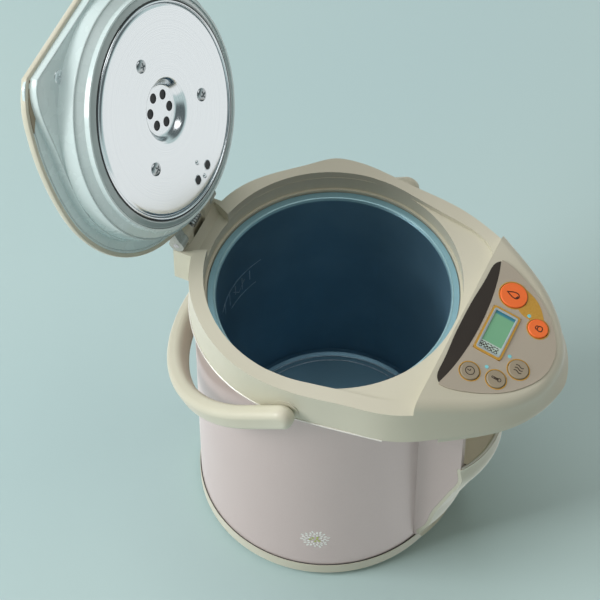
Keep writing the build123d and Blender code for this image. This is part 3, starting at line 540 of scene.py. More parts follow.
# %% Pearl finish
pearl = Finish("pearl_coat", colour(200, 186, 180), 0.36, Coat_Weight=0.35, Coat_Roughness=0.12)
flake = pearl.place.flakes(5200.0)
tone = pearl.place.noise(9.0)
pearl_mix = flake * 0.5 + tone * 0.5
pearl.set("Base Color", pearl_mix.blend(colour(188, 172, 168), colour(204, 190, 186)))
pearl.set("Metallic", flake.step(0.2, 0.9, 0.08, 0.3))
pearl.set("Roughness", tone.step(*middle_part, 0.34, 0.42))
pearl.bump(flake, 0.01, 0.4)
shade(pearl, "outer_shell")

# %% [markdown]
# ## Neck
#
# The neck under the nose is moulded in the shell's pearl colour, painted a little darker here as
# painted shade under the nose, and the recess above its lip is lined in beige, painted paler than
# the other beige mouldings as painted light in the nose's shadow. Both are one node, so the lining
# is a mask on the place: between the recess's side walls and above the lip. A thin dark joint runs
# down the front beside each wall.

# %% Neck finish
recess_half, lip_z = 29.2 * mm, rim - 102 * mm
neck = Finish("neck_coat", colour(200, 186, 180), 0.36, Coat_Weight=0.3, Coat_Roughness=0.15)
nx, ny, nz = neck.place.axes()
between = 1.0 - abs(nx).step(recess_half - 0.05 * mm, recess_half + 0.05 * mm)
within = between * nz.step(lip_z - 0.5 * mm, lip_z)
beside = abs(nx).band(recess_half + 0.1 * mm, recess_half + 0.7 * mm, 0.15 * mm)
in_front = ny.step(-112.8 * mm, -111.8 * mm, 1.0, 0.0)
joint = beside * in_front * nz.step(lip_z + 1.5 * mm, lip_z + 2 * mm)
flake = neck.place.flakes(5200.0)
pearl_mix = flake * 0.5 + neck.place.noise(9.0) * 0.5
# The neck's pearl is a little darker than the shell's: painted shade under the nose.
pearl_with_painted_shade = pearl_mix.blend(colour(180, 165, 160), colour(196, 182, 177))
# The lining's near-white is beige lifted by painted light in the nose's shadow.
neck.set("Base Color", joint.blend(within.blend(pearl_with_painted_shade, colour(236, 226, 208)), colour(70, 62, 56)))
neck.set("Metallic", (1.0 - within) * 0.15)
neck.set("Roughness", within * 0.1 + 0.36)
neck.bump(flake, 0.01, 0.4)
shade(neck, "neck_cover")

# %% [markdown]
# ## Coated vessel
#
# The vessel is drawn steel with a dark blue release coat, whose spray leaves a faint orange peel.
# The coat stops on the flange, where a thinner, paler layer lets the metal through. The bottom is
# painted paler, a painted highlight where it faces up to the light. The zones follow from the
# distance to the axis and the height, so one material covers them without a seam. The marks etched
# in the coat and the rolled mouth get close relatives of it.

# %% Vessel finishes
vessel = Finish("vessel_coat", colour(78, 108, 126), 0.3, Specular_IOR_Level=0.6, Metallic=0.45)
vx, vy, vz = vessel.place.axes()
reach = (vx * vx + vy * vy).root()
on_flange = reach.step(78.5 * mm, 80 * mm) * vz.step(rim - 4 * mm, rim - 1 * mm)
mottle = vessel.place.noise(25.0, 3.0)
wall = mottle.step(*middle_part).blend(colour(98, 136, 158), colour(108, 146, 168))
# The bottom is painted paler: a painted highlight where it faces up to the light.
with_painted_pale_bottom = vz.step(rim - 181 * mm, rim - 178 * mm).blend(colour(150, 196, 214), wall)
vessel.set("Base Color", on_flange.blend(with_painted_pale_bottom, colour(138, 180, 192)))
vessel.set("Roughness", mottle.step(*middle_part, 0.32, 0.42))
vessel.grain(700.0, 0.03)
shade(vessel, "inner_vessel")

etched = Finish("etched_coat", colour(112, 140, 156), 0.4, Metallic=0.5)
etched.cloud(300.0, (178, 204, 218), (204, 224, 234), span=middle_part).grain(1500.0, 0.02)
flange_coat = Finish("flange_coat", colour(150, 190, 200), 0.28, Metallic=0.4)
flange_coat.cloud(60.0, (152, 194, 204), (174, 210, 218)).grain(700.0, 0.02)

# %% [markdown]
# ## Polished and brushed steel
#
# The lid's inner plate is spun and mirror polished, so rings of very fine tool marks run round its
# centre. The marks are a noise that is read along the distance from the plate's centre only, with
# the plate's own tilt taken out by a Mapping node. The pin, chassis and other plain steel parts
# are brushed: their noise is drawn out along one axis.

# %% Steel finishes
plate_low, plate_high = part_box("inner_lid_plate")
plate_middle = (plate_low + plate_high) / 2
polish = Finish("polished_steel", colour(226, 230, 232), 0.12, Metallic=1.0)
untilted = {"Vector": polish.place, "Location": tuple(plate_middle), "Rotation": (-lid_open, 0, 0)}
px, py, _ = polish.place.node("Mapping", {"vector_type": "TEXTURE"}, untilted).axes()
from_centre = (px * px + py * py).root()
marks = from_centre.node("TexNoise", {"noise_dimensions": "1D"},
                         {"W": from_centre, "Scale": 2600.0, "Detail": 3.0})
polish.set("Roughness", marks.step(*middle_part, 0.15, 0.24))
polish.set("Base Color", marks.step(0.2, 0.8).blend(colour(214, 219, 222), colour(236, 239, 240)))
polish.bump(marks, 0.02, 0.3)
shade(polish, "inner_lid_plate", "bead_ring", "plate_screws")

brushed = Finish("brushed_steel", colour(176, 178, 178), 0.3, Metallic=1.0)
drawn_out = brushed.place.node("Mapping", {}, {"Vector": brushed.place, "Scale": (1, 40, 40)})
streak = drawn_out.noise(90.0, 3.0)
brushed.set("Roughness", streak.step(*middle_part, 0.22, 0.4))
brushed.set("Base Color", streak.step(0.2, 0.8).blend(colour(160, 162, 163), colour(192, 194, 194)))
brushed.bump(streak, 0.02, 0.4)
shade(brushed, "hinge_pin", "hinge_spring", "base_screws", "chassis", "insulation_jacket",
      "inlet_pins")

screw_steel = Finish("screw_steel", colour(150, 154, 156), 0.28, Metallic=1.0)
screw_steel.cloud(600.0, (156, 160, 162), (190, 194, 195), 3.0, middle_part).grain(2200.0, 0.03)
# Near-white for beads that are partly trim and partly painted highlights.
trim_and_highlight = Finish("trim_and_highlight", colour(236, 234, 226), 0.22, Metallic=0.2, Coat_Weight=0.5)
trim_and_highlight.cloud(40.0, (230, 228, 218), (240, 238, 232)).grain(900.0, 0.02, 0.4)

# %% [markdown]
# ## Soft and dark parts
#
# Seal, gasket and feet are silicone and rubber. The black ones are matt and a little dusty, and
# the grey gasket is glossy from the press. The pump and the inlet are black mouldings with a
# coarser grain. All of them take a noise at the scale of their own skin.

# %% Rubber and dark plastic
rubber = Finish("black_silicone", colour(44, 45, 47), 0.55)
dust = rubber.place.noise(400.0, 4.0)
rubber.set("Base Color", dust.step(0.45, 0.8).blend(colour(40, 41, 43), colour(62, 63, 64)))
rubber.set("Roughness", dust.step(0.3, 0.8, 0.45, 0.65))
rubber.bump(dust, 0.03)
shade(rubber, "vessel_seal", "rubber_feet")

ring_rubber = Finish("grey_silicone", colour(140, 156, 156), 0.18,
                     Coat_Weight=0.8, Coat_Roughness=0.06)
ring_rubber.cloud(60.0, (176, 192, 192), (192, 206, 206), 3.0).grain(900.0, 0.03)
shade(ring_rubber, "lid_gasket")

dark = Finish("dark_moulding", colour(40, 40, 42), 0.5)
texture = dark.place.noise(2200.0, 3.0, 0.6)
dark.cloud(20.0, (34, 34, 36), (48, 48, 50))
dark.set("Roughness", texture.step(*middle_part, 0.42, 0.58))
dark.bump(texture, 0.05, 0.6)
shade(dark, "power_inlet", "pump_motor", "riser_tube", "pump_housing", "pump_impeller")

# %% [markdown]
# ## Lid liner
#
# The liner is a blue-grey, slightly clear moulding. Light that gets into it comes out again all
# over. Real scattering is slow and noisy at this size, so a very weak glow of its own stands for
# it. Near the hinge pin the moulding is solid and greyer, which is a mask on the distance from the
# pin's line.

# %% Liner finishes
liner = Finish("lid_liner", colour(218, 232, 231), 0.24,
               Coat_Weight=0.6, Coat_Roughness=0.06, Emission_Strength=0.07)
haze = liner.place.noise(11.0, 3.0).step(*middle_part)
_, ly, lz = liner.place.axes()
from_pin = ((ly - hinge_y * mm) ** 2 + (lz - hinge_z * mm) ** 2).root()
tinted = haze.blend(colour(202, 220, 220), colour(214, 229, 228))
liner.set("Base Color", from_pin.step(14 * mm, 18 * mm).blend(colour(150, 151, 140), tinted))
liner.set("Emission Color", haze.blend(colour(170, 206, 208), colour(190, 220, 222)))
liner.set("Roughness", liner.place.noise(90.0).step(*middle_part, 0.2, 0.32))
liner.grain(500.0, 0.03)
shade(liner, "lid_liner")

# Pale clear liner colour, for the liner's own bead and for beads that are painted highlights.
pale_bead_and_highlight = Finish("liner_bead_highlight", colour(168, 190, 190), 0.25,
                    Transmission_Weight=0.1, Coat_Weight=0.3)
pale_bead_and_highlight.cloud(50.0, (196, 214, 214), (212, 226, 226)).grain(800.0, 0.02, 0.4)

# %% [markdown]
# ## Hidden works
#
# The boards and the heater show only when the pot is taken apart. Copper tracks and the heater's
# winding are regular, so they come from the fractional part of a coordinate, which repeats by
# itself and needs no texture.

# %% Board and heater finishes
board = Finish("circuit_board", colour(24, 92, 52), 0.35)
bx, by, _ = board.place.axes()
track = abs((bx * 900.0).part() - 0.5).step(0.2, 0.3)
track = track * abs((by * 700.0).part() - 0.5).step(0.1, 0.3)
board.set("Base Color", track.blend(colour(22, 84, 48), colour(60, 120, 62)))
board.set("Roughness", track.step(0, 1, 0.45, 0.3))
board.bump(track, 0.04)
shade(board, "power_board", "control_board", "thermal_cutout", "lcd_module")

mica = Finish("heater_mica", colour(150, 132, 96), 0.6)
winding = abs((mica.place.axes()[2] * 260.0).part() - 0.5).step(0.3, 0.4)
mica.set("Base Color", winding.blend(colour(120, 100, 70), colour(180, 160, 120)))
mica.bump(winding, 0.2, 0.6)
shade(mica, "heater_band")

# %% [markdown]
# ## Inks and prints
#
# Small marks are printed: dark brown on the buttons and in the display, white and leaf green on
# the shell, umber and gold on the panel's film. Ink is matt and never quite even, so each has a
# fine noise in its colour and another in its height.

# %% Ink finishes
def ink_of(name, low, high):
    """Finish of a printed ink between two close colours."""
    made = Finish(name, colour(*low), 0.5, Specular_IOR_Level=0.3)
    return made.cloud(900.0, low, high).grain(2500.0, 0.02)


ink = ink_of("dark_ink", (46, 34, 26), (58, 44, 34))
white_ink = ink_of("white_ink", (248, 249, 244), (254, 254, 250))
green_ink = ink_of("green_ink", (158, 184, 48), (182, 200, 80))

umber = Finish("umber_print", colour(56, 50, 44), 0.5, Specular_IOR_Level=0.3)
shade(umber.cloud(40.0, (52, 46, 41), (62, 55, 49)).grain(1500.0, 0.02), "panel_strip")
gold = Finish("gold_print", colour(206, 150, 58), 0.35, Metallic=0.35)
shade(gold.cloud(800.0, (214, 158, 58), (234, 186, 92)).grain(1600.0, 0.02), "lcd_frame")
bezel_silver = Finish("bezel_silver", colour(186, 200, 202), 0.3, Metallic=0.3, Coat_Weight=0.4)
bezel_silver.cloud(120.0, (176, 192, 196), (198, 210, 210)).grain(1200.0, 0.02, 0.4)

# %% [markdown]
# ## Control panel
#
# The nose carries a printed film on a warm greige ground. The keys are soft-touch rubber in orange
# and greige, whose grain makes them matt. The display's glass is unlit at one end, where the
# figures stand, and at the other end it is painted blue, a painted shadow where the bezel shades
# the recessed screen, so its colour is a mask along its length.

# %% Film and keys
film = Finish("panel_film", colour(182, 173, 157), 0.42)
film.cloud(30.0, (178, 169, 152), (186, 177, 161)).grain(1800.0, 0.02, rough=(0.36, 0.5))
shade(film, "control_panel")

orange = Finish("orange_rubber", colour(236, 118, 66), 0.5)
orange.cloud(60.0, (250, 112, 44), (255, 126, 58))
greige = Finish("greige_rubber", colour(160, 148, 126), 0.5)
greige.cloud(60.0, (152, 140, 118), (168, 156, 134))
for key_rubber in (orange, greige):
    key_rubber.grain(2400.0, 0.04, detail=3.0, rough=(0.42, 0.58))
shade(orange, "dispense_button", "unlock_button")
shade(greige, "timer_button", "temperature_button", "reboil_button")

# %% Display and lenses
glass = Finish("display_glass", colour(132, 186, 150), 0.12, Coat_Weight=0.6, Coat_Roughness=0.05)
gx = glass.place.axes()[0]
lit = glass.place.noise(25.0).blend(colour(118, 180, 142), colour(140, 196, 156))
unlit = gx.step(-8.6 * mm, -8 * mm).blend(colour(196, 216, 206), lit)
# The blue at the far end is a painted shadow of the bezel on the recessed screen.
glass.set("Base Color", gx.step(14 * mm, 15.8 * mm).blend(unlit, colour(66, 138, 160)))
shade(glass.grain(300.0, 0.01, 0.4), "lcd_window")

lens_cyan = Finish("cyan_lens", colour(126, 204, 212), 0.2, Emission_Strength=0.15)
lens_cyan.set("Emission Color", colour(70, 170, 190))
lens_cyan.cloud(500.0, (112, 196, 206), (150, 216, 220)).grain(900.0, 0.02, 0.4)
shade(lens_cyan, "indicator_lenses")

# %% [markdown]
# ## Clear parts
#
# The gauge's window and the steam tube are clear plastic that has gone a little hazy. They let
# most light through, and an uneven roughness makes the haze. After them every node should have a
# finish of its own, so the cell checks that none was forgotten.

# %% Clear finish
clear = Finish("clear_plastic", colour(200, 212, 212), 0.15, Transmission_Weight=0.6, IOR=1.45)
clear.set("Roughness", clear.place.noise(200.0).step(*middle_part, 0.1, 0.22))
shade(clear.grain(400.0, 0.02, 0.4), "gauge_window", "steam_tube")
bare = [name for name, node in nodes.items()
        if not any(slot.material and slot.material.node_tree for slot in node.material_slots)]
print("nodes without a finish:", bare)

# %% [markdown]
# ## The lid's inner plate
#
# The plate is pressed from polished steel: a flat dish with a rolled rim and a round recess whose
# floor has six steam holes. A profile turned round the axis gives the dish. The floor is built in
# six equal sectors, each a ruled ring from the sector's outline to its hole, so the holes are
# real and their edges stay round.

# %% Pressed plate
steam_r, steam_ring, steam_hole = 15.5, 10.5, 3.4    # recess's floor, ring of holes, one hole


def steam_sectors(foot, top):
    """Six grids: a sector's outline joined to its hole, on both faces of the sheet.

    The outline goes out along one radius, round the arc and back. The hole's points lie on the
    line from the hole's middle to the outline's points, one hole radius out.
    """
    made, sector = [], pi / 3
    out_and_back = np.linspace(0, steam_r, 9)[:-1], np.linspace(steam_r, 0, 9)[:-1]
    radius = np.concatenate([out_and_back[0], np.full(24, steam_r), out_and_back[1]])
    for start in np.arange(6) * sector:
        angle = np.concatenate([np.full(8, start), np.linspace(start, start + sector, 25)[:-1],
                                np.full(8, start + sector)])
        outline = polar(radius, angle)
        middle = polar(steam_ring, start + sector / 2)
        hole = middle + steam_hole * unit(outline - middle)
        grid = levels([(outline, foot), (hole, foot), (hole, top), (outline, top)], 1)
        made.append(np.vstack([grid, grid[:1]]))
    return made


dish_profile = [(15.5, -0.5), (16.4, -0.62), (17.4, -1.2), (19.6, -4.2), (21.0, -5.5),
                (22.6, -5.96), (25, -6.0), (66.6, -6.0), (68.0, -5.8), (69.2, -4.8),
                (70.0, -3.6), (69.5, -3.3), (68.6, -4.3), (67.6, -5.1), (66.6, -5.25),
                (25, -5.25), (22.8, -5.2), (21.6, -4.8), (20.2, -3.6), (18.0, -0.7),
                (16.8, -0.1), (15.5, 0.0)]
dish = turned(eased(dish_profile, 2, closed=False))
sheets = [np.vstack([dish, dish[:1]])] + steam_sectors(-0.5, 0.0)
pressed_plate = skin("pressed_plate", [swung(sheet) for sheet in sheets], polish, "lid",
                     wrap=(False, False))
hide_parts("inner_lid_plate")

rim_bead = turned(bead(1.5, 2.4, 70.75, -4.6, 20))
rim_bead = skin("rim_bead", swung(rim_bead), polish, "lid")
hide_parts("bead_ring")

# %% [markdown]
# ## Ports and rivets in the plate
#
# Near its rear edge the plate has two small ports with raised rims, and two rivets between them. A
# dark disc a tenth of a millimetre proud, painted shade for a hole's depth, reads as a hole from
# every side and saves cutting the plate.

# %% Ports and rivets
ports, rivets = ((7, 58), (-7, 58)), ((0, 48.8), (0, 61.2))
# Dark discs: painted shade where the ports' holes are.
port_shade_discs = [swung(plate(circle(x, y, 3.2), -6.1, -5.9)) for x, y in ports]
skin("plate_port_shade", port_shade_discs, rubber, "lid", wrap=(False, True))
port_rims = [swung(moulding(circle(x, y, 3.3), bead(0.5, 0.4, 0, -6.05))) for x, y in ports]
skin("port_rims", port_rims, polish, "lid")
rivet = eased([(0.01, -7.0), (0.8, -6.95), (1.5, -6.5), (1.6, -5.9), (0.01, -5.9)], 2, closed=False)
rivet_heads = [swung(turned(rivet, 32) + [x, y, 0]) for x, y in rivets]
skin("plate_rivets", rivet_heads, polish, "lid", wrap=(True, False))

# %% [markdown]
# ## Lines in the gasket
#
# The lid's gasket is one silicone ring with lips. Between the lips lie grooves in shade, and the
# lips' edges catch the light. Fine beads turned round the plate's axis paint both: dark beads are
# painted shade in the grooves and pale beads are painted highlights on the edges, each sunk in the
# ring so that only a line of it shows. A dark disc behind the six steam holes is painted shade for
# the chamber there, because nothing else of it can be seen.

# %% Painted gasket lines and painted shade behind the steam holes
def lid_rings(size, places):
    """Round beads of one size about the lid's axis, at these radii and heights."""
    return [swung(turned(bead(size, size, radius, height, 10))) for radius, height in places]


# Dark beads: painted shade in the gasket's grooves.
groove_shade_rings = lid_rings(0.8, ((71.9, -5.0), (74.3, -4.3), (77.2, -2.6)))
skin("gasket_groove_shade", groove_shade_rings, rubber, "lid")
# Pale beads: painted highlights on the lips' edges.
edges = lid_rings(0.7, ((73.0, -4.9), (76.3, -3.4)))
skin("gasket_edge_highlight", edges, pale_bead_and_highlight, "lid")
# A dark disc: painted shade behind the steam holes.
steam_hole_shade = plate(circle(0, 0, 14.8), 0.12, 0.4)
skin("steam_hole_shade", swung(steam_hole_shade), rubber, "lid", wrap=(False, True))

# %% [markdown]
# ## Screws in the plate
#
# Three pan heads hold the plate. A turned dome with a cross pressed in is enough at this size, but
# the cross has to be cut with real walls to catch dark edges: a height field does that, with the
# cross as a dip whose flanks are steep.

# %% Pan head screws
plate_face = -6.0
head_r, head_high = 4.5, 1.5
cross_half, cross_reach, cross_deep = 0.62, 2.6, 1.1
end_wall, side_wall = 0.25, 0.18      # how wide the cross's walls are in plan


def pan_head(x, y, turn):
    """Dome over a disc: height falls with the fourth power of the radius, less a cross-shaped dip.

    A place lies in the cross where its smaller coordinate is below half an arm's width.
    """
    radius = np.concatenate([np.linspace(0, head_r - 0.1, 34), [head_r]])[:, None]
    angle = full_turn(96)[None, :]
    across, along = radius * np.cos(angle), radius * np.sin(angle)
    arm = np.minimum(np.abs(across), np.abs(along))
    dip = np.clip((cross_half - arm) / side_wall, 0, 1)
    dip = dip * np.clip((cross_reach - radius) / end_wall, 0, 1)
    drop = head_high * (1 - (radius / 4.9) ** 4) - cross_deep * dip
    drop[-1] = 0.0
    face = np.stack([x + across * cos(turn) - along * sin(turn),
                     y + across * sin(turn) + along * cos(turn), plate_face - drop], -1)
    back_face = face[-1:].copy()
    back_face[..., :2] = (x, y)
    return np.vstack([face, back_face])


screw_ring = 39.5
# A screw stops where it is tight, so each cross points its own way.
heads = [swung(pan_head(-screw_ring * sin(radians(a)), -screw_ring * cos(radians(a)), 0.5 + a))
         for a in (0, 120, 240)]
pan_heads = skin("pan_heads", heads, screw_steel, "lid",
                 wrap=(False, True), crease=50)
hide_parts("plate_screws")

# %% [markdown]
# ## The lid's edge
#
# The lid is two mouldings that meet at its rim: the beige shell outside and the liner inside. The
# shell's rolled edge shows all round as a narrow beige line, with a clear bead of the liner beside
# it. The edge follows the lid's plan, a half circle at the hinge that is drawn in to a straight
# front, so the plan is a function and everything along the edge is carried on it.

# %% Lid outline and edge
lid_r, lid_front, front_half = 97.0, -91.0, 64.0


def lid_plan(inset=0.0):
    """Closed plan of the lid in millimetres: two smooth flanks, a straight front, a half circle."""
    flank = smooth_line([(97, 8), (97, 0), (96, -19), (88, -55), (76.5, -79), (64, -91),
                         (58, -96)], 90)
    flank = flank[(flank[:, 1] < 0) & (flank[:, 1] > lid_front)]
    front = np.column_stack([np.linspace(front_half, -front_half, 60), np.full(60, lid_front)])
    rear = polar(lid_r, np.linspace(pi, 0, 120))
    line = np.vstack([flank, front, flank[::-1] * [-1, 1], rear])
    return line + sideways(heading(line)) * inset


lip = eased([(-0.2, 24.2), (-0.2, 21.6), (0.6, 21.2), (2.2, 21.2), (2.8, 21.5), (2.8, 22.1),
             (1.2, 22.2), (1.0, 24.2)], 2)
skin("lid_lip", swung(moulding(lid_plan(), lip)), beige, "lid")
inner_bead = moulding(lid_plan(4.2), bead(0.9, 0.8, 0, 21.4))
skin("flange_bead", swung(inner_bead), pale_bead_and_highlight, "lid")

# %% [markdown]
# ## Details of the liner
#
# Round the liner's raised part runs a fine pale bead, a painted highlight on that edge. Two screws
# hold its front corners, and a second pale bead on the ledge where the plate sits is a painted
# highlight too. The corners of the rim get greige crescents, painted shade on the beige plastic,
# each between the lid's edge and a shallow curve. Beads are carried sections, and each crescent is
# a ruled strip between its two curves.

# %% Beads, screws and painted shade at the corners
plug_half = np.array([(85.9, 12), (84.3, -17), (78.8, -47), (74.8, -69), (70.4, -80), (66.4, -84.2),
                      (62.4, -88.0), (60.5, -88.5), (58, -88.6), (52, -88.6), (20, -88.6)])
plug_line = smooth_line(mirrored(plug_half), 240)
# A pale bead as a painted highlight on the raised part's edge.
plug_edge_highlight = moulding(plug_line, bead(0.9, 1.0, 0.5, 15.5), closed=False)
skin("plug_edge_highlight", swung(plug_edge_highlight), pale_bead_and_highlight, "lid", wrap=(False, True))

flatter, lifted = [1, 1, 0.45], [0, 0, 18.2]
liner_heads = [swung(pan_head(x, -74.4, 0.4) * flatter + lifted) for x in (-45.4, 45.4)]
skin("liner_heads", liner_heads, polish, "lid", wrap=(False, True), crease=50)

corner = lid_plan(2.9)
corner = corner[(corner[:, 0] < -46) & (corner[:, 1] < -60)]
hollow = smooth_line([corner[0], (-58, -85), (-66.5, -77), (-73, -69.5), corner[-1]], len(corner))
# Greige crescents: painted shade on the beige rim at the corners.
crescent_shade = levels([(corner, 20.9), (corner, 21.6), (hollow, 21.6), (hollow, 20.9)], 1)
skin("corner_shade_facings", [swung(crescent_shade), swung(crescent_shade * [-1, 1, 1])], greige, "lid",
     wrap=(False, True))
# A pale bead as a painted highlight on the ledge.
ledge_highlight_ring = turned(bead(1.1, 1.1, 84.3, 4.0, 12))
skin("ledge_highlight_ring", swung(ledge_highlight_ring), pale_bead_and_highlight, "lid")

# %% [markdown]
# ## The lid's outside
#
# Outside, the lid is one shallow dome over its D-shaped plan, with a pocket for the latch. Its
# height depends only on how far a point lies from the middle, as a share of the way to the edge. A
# row of the grid is a chord of the plan. The grid has its lines on the pocket's edges twice, once
# at each level, so the pocket's walls are upright.

# %% Dome's height
edge_z, pocket_z = 23.6, 25.4
dome_curve = smooth_line([(0, 42.0), (20, 41.8), (48, 39.9), (73, 35.8), (87, 31.6), (93.6, 28.6),
                          (96.2, 25.8), (97, edge_z)], 400) / [lid_r, 1]
plan = lid_plan()
plan_angle = np.unwrap(np.arctan2(plan[:, 1], plan[:, 0]))
order = np.argsort(plan_angle)
plan_reach = np.hypot(plan[:, 0], plan[:, 1])


def dome_height(x, y):
    """Height over the rim at a place in plan, from its share of the way out to the edge."""
    angle = np.mod(np.arctan2(y, x) - plan_angle.min(), 2 * pi) + plan_angle.min()
    edge = np.interp(angle, plan_angle[order], plan_reach[order], period=2 * pi)
    return np.interp(np.clip(np.hypot(x, y) / edge, 0, 1), dome_curve[:, 0], dome_curve[:, 1])


def slowing(count):
    """Shares from 0 to 1 in shrinking steps: one less the square of what is left."""
    return 1 - (1 - np.linspace(0, 1, count)) ** 2


print("height at the middle:", dome_height(np.array([0.0]), np.array([0.0])))

# %% Lid dome
right_edge = plan[(plan[:, 0] > 0) | (np.abs(plan[:, 0]) < 1e-6)]
right_edge = right_edge[np.argsort(right_edge[:, 1])]
pocket_half, pocket_front, pocket_rear = 22.6, -86.0, -62.0
row_counts, column_counts = (14, 12, 120), (60, 24, 60)
near = lid_front + (pocket_front - lid_front) * np.linspace(0, 1, row_counts[0]) ** 2
far = pocket_rear + (lid_r - pocket_rear) * slowing(row_counts[2])
rows = np.concatenate([near, np.linspace(pocket_front, pocket_rear, row_counts[1]), far])
half = np.interp(rows, right_edge[:, 1], right_edge[:, 0])
half[0], half[-1] = front_half, 0.0
inner_half = np.minimum(pocket_half, 0.45 * half)[:, None]
side = inner_half + (half[:, None] - inner_half) * slowing(column_counts[0])[None, :]
middle = inner_half * np.linspace(-1, 1, column_counts[1])[None, :]
across = np.hstack([-side[:, ::-1], middle, side])
along = np.broadcast_to(rows[:, None], across.shape)
in_pocket = np.outer(np.repeat([False, True, False], row_counts),
                     np.repeat([False, True, False], column_counts))
height = np.where(in_pocket, pocket_z, dome_height(across, along))
height[0] = height[-1] = height[:, 0] = height[:, -1] = edge_z
outside = np.stack([across, along, height], -1)
inside = np.stack([across, along, np.full_like(across, edge_z)], -1)
dome = skin("lid_dome", [swung(outside), swung(inside)], beige, "lid",
            wrap=(False, False), crease=30)
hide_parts("lid_shell")
vent_well = plate(circle(0, 0, 12.5), 41.9, 42.1)
skin("vent_well", swung(vent_well), rubber, "lid", wrap=(False, True))

# %% [markdown]
# ## The hinge's spring
#
# The lid is pushed open by a torsion spring that is wound round the pin between the collar's lugs.
# A solid with grooves stands for it in the CAD model. Here it is wound from wire: a circle carried
# along a helix, whose two ends run straight on, one down to the collar and one up to the lid.

# %% Wound spring
def round_wire(line, radius, count=12):
    """Grid of a round wire along a line in space.

    The section's two directions are the X axis less its share along the line, and their cross
    product with the line's direction, so they need no memory of the wire's turns.
    """
    along = unit(heading(line, closed=False))
    first = unit(np.array([1.0, 0, 0]) - along[:, :1] * along)
    second = np.cross(along, first)
    angle = full_turn(count)[None, :, None]
    ring = np.cos(angle) * first[:, None, :] + np.sin(angle) * second[:, None, :]
    ends = line[[0, -1]][:, None, :].repeat(count, 1)
    return np.vstack([ends[:1], line[:, None, :] + radius * ring, ends[1:]])


coil_half, coil_r, wire_r, leg_points = 5.6, 3.4, 0.8, 20
wound = np.linspace(0, 10 * pi, 420)
coil = np.column_stack([-coil_half + 2 * coil_half * wound / wound[-1],
                        hinge_y + coil_r * np.cos(wound), hinge_z + coil_r * np.sin(wound)])


def spring_leg(x, heights):
    """Straight upright end of the spring beside the coil, at these heights from the pin."""
    side = np.full(leg_points, hinge_y + coil_r)
    return np.column_stack([np.full(leg_points, x), side, hinge_z + heights])


lower_leg = spring_leg(-coil_half, np.linspace(-9, 0, leg_points + 1)[:-1])
upper_leg = spring_leg(coil_half, np.linspace(0, 5, leg_points + 1)[1:])
spring_line = np.vstack([lower_leg[:-1], coil, upper_leg[1:]])
spring = skin("wound_spring", round_wire(spring_line * mm, wire_r * mm), brushed, "body",
              wrap=(False, True))
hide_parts("hinge_spring")

# %% [markdown]
# ## Prints on the panel
#
# The film is printed in gold: a thin ring round every button, a tapering band that ties the two
# orange ones together, and a frame round the display. They are a tenth or two of a millimetre
# proud, as thick ink is, which keeps them clear of the film at any distance.

# %% Gold rings
buttons = {      # middle and radius
    "dispense_button": (33.8, -116.8, 9.5), "unlock_button": (19.5, -141.1, 7.0),
    "timer_button": (-35.0, -113.5, 6.5), "temperature_button": (-31.0, -131.3, 6.5),
    "reboil_button": (-16.2, -141.6, 7.0),
}
rings = [sloped(moulding(circle(x, y, r + 0.75, 72), strip(0.7, 0.7, 0.95)))
         for x, y, r in buttons.values()]
skin("gold_rings", rings, gold, "body")

# %% [markdown]
# ## The band between the orange buttons
#
# The band starts and ends on an arc round a button, and its flanks bow. It is a ruled sheet
# between the two arcs, pushed sideways by a half sine that is largest half way, with a hem of
# quads between its top and its foot.

# %% Gold band
first_arc, second_arc = arc(33.8, -116.8, 10.1, -141, -22), arc(19.5, -141.1, 7.6, 64, -12)
band_foot_z, band_top_z, steps = 0.7, 0.9, 20
share = np.linspace(0, 1, steps)[:, None, None]
chord = second_arc - first_arc
swell = np.linspace(1.2, -3.4, len(chord))[None, :, None] * np.sin(pi * share)
band = first_arc[None] * (1 - share) + second_arc[None] * share + sideways(chord)[None] * swell
band_top, band_foot = [np.concatenate([band, np.full((steps, len(chord), 1), level)], -1)
                       for level in (band_top_z, band_foot_z)]
hem = np.concatenate([band_top[0], band_top[1:, -1], band_top[-1, -2::-1], band_top[-2::-1, 0]])
hem = np.stack([hem, hem - [0, 0, band_top_z - band_foot_z]])
skin("gold_band", [sloped(band_top), sloped(band_foot), sloped(hem)], gold, "body",
     wrap=(False, False))

# %% [markdown]
# ## The display's bezel
#
# Inside the gold frame lies a silvery bezel round the liquid crystal: a low bevelled section that
# is carried round a rectangle with round corners.

# %% Bezel
lcd_x, lcd_y = (-17.3, 20.0), (-128.3, -108.0)


def frame_line(inset, corner, count=12):
    """Closed rectangle with round corners, inside the display's outline by this much."""
    x0, x1, y0, y1 = lcd_x[0] + inset, lcd_x[1] - inset, lcd_y[0] + inset, lcd_y[1] - inset
    corners = [(x1 - corner, y1 - corner, 0), (x0 + corner, y1 - corner, 90),
               (x0 + corner, y0 + corner, 180), (x1 - corner, y0 + corner, 270)]
    return np.vstack([arc(x, y, corner, a, a + 90, count) for x, y, a in corners])[::-1]


bevel = eased([(-0.75, 1.5), (0.75, 1.5), (0.7, 1.75), (-0.7, 1.9)], 1)
bezel = moulding(frame_line(2.2, 0.8), bevel)
skin("display_bezel", sloped(bezel), bezel_silver, "body")

# %% [markdown]
# ## Figures in the display
#
# The figures stand at one end, on the unlit ground. Each is made of up to seven bars with pointed
# ends, as on the real glass. A bar is a flat hexagon, so a figure is only the list of its lit
# bars, and the bars of all figures form one mesh.

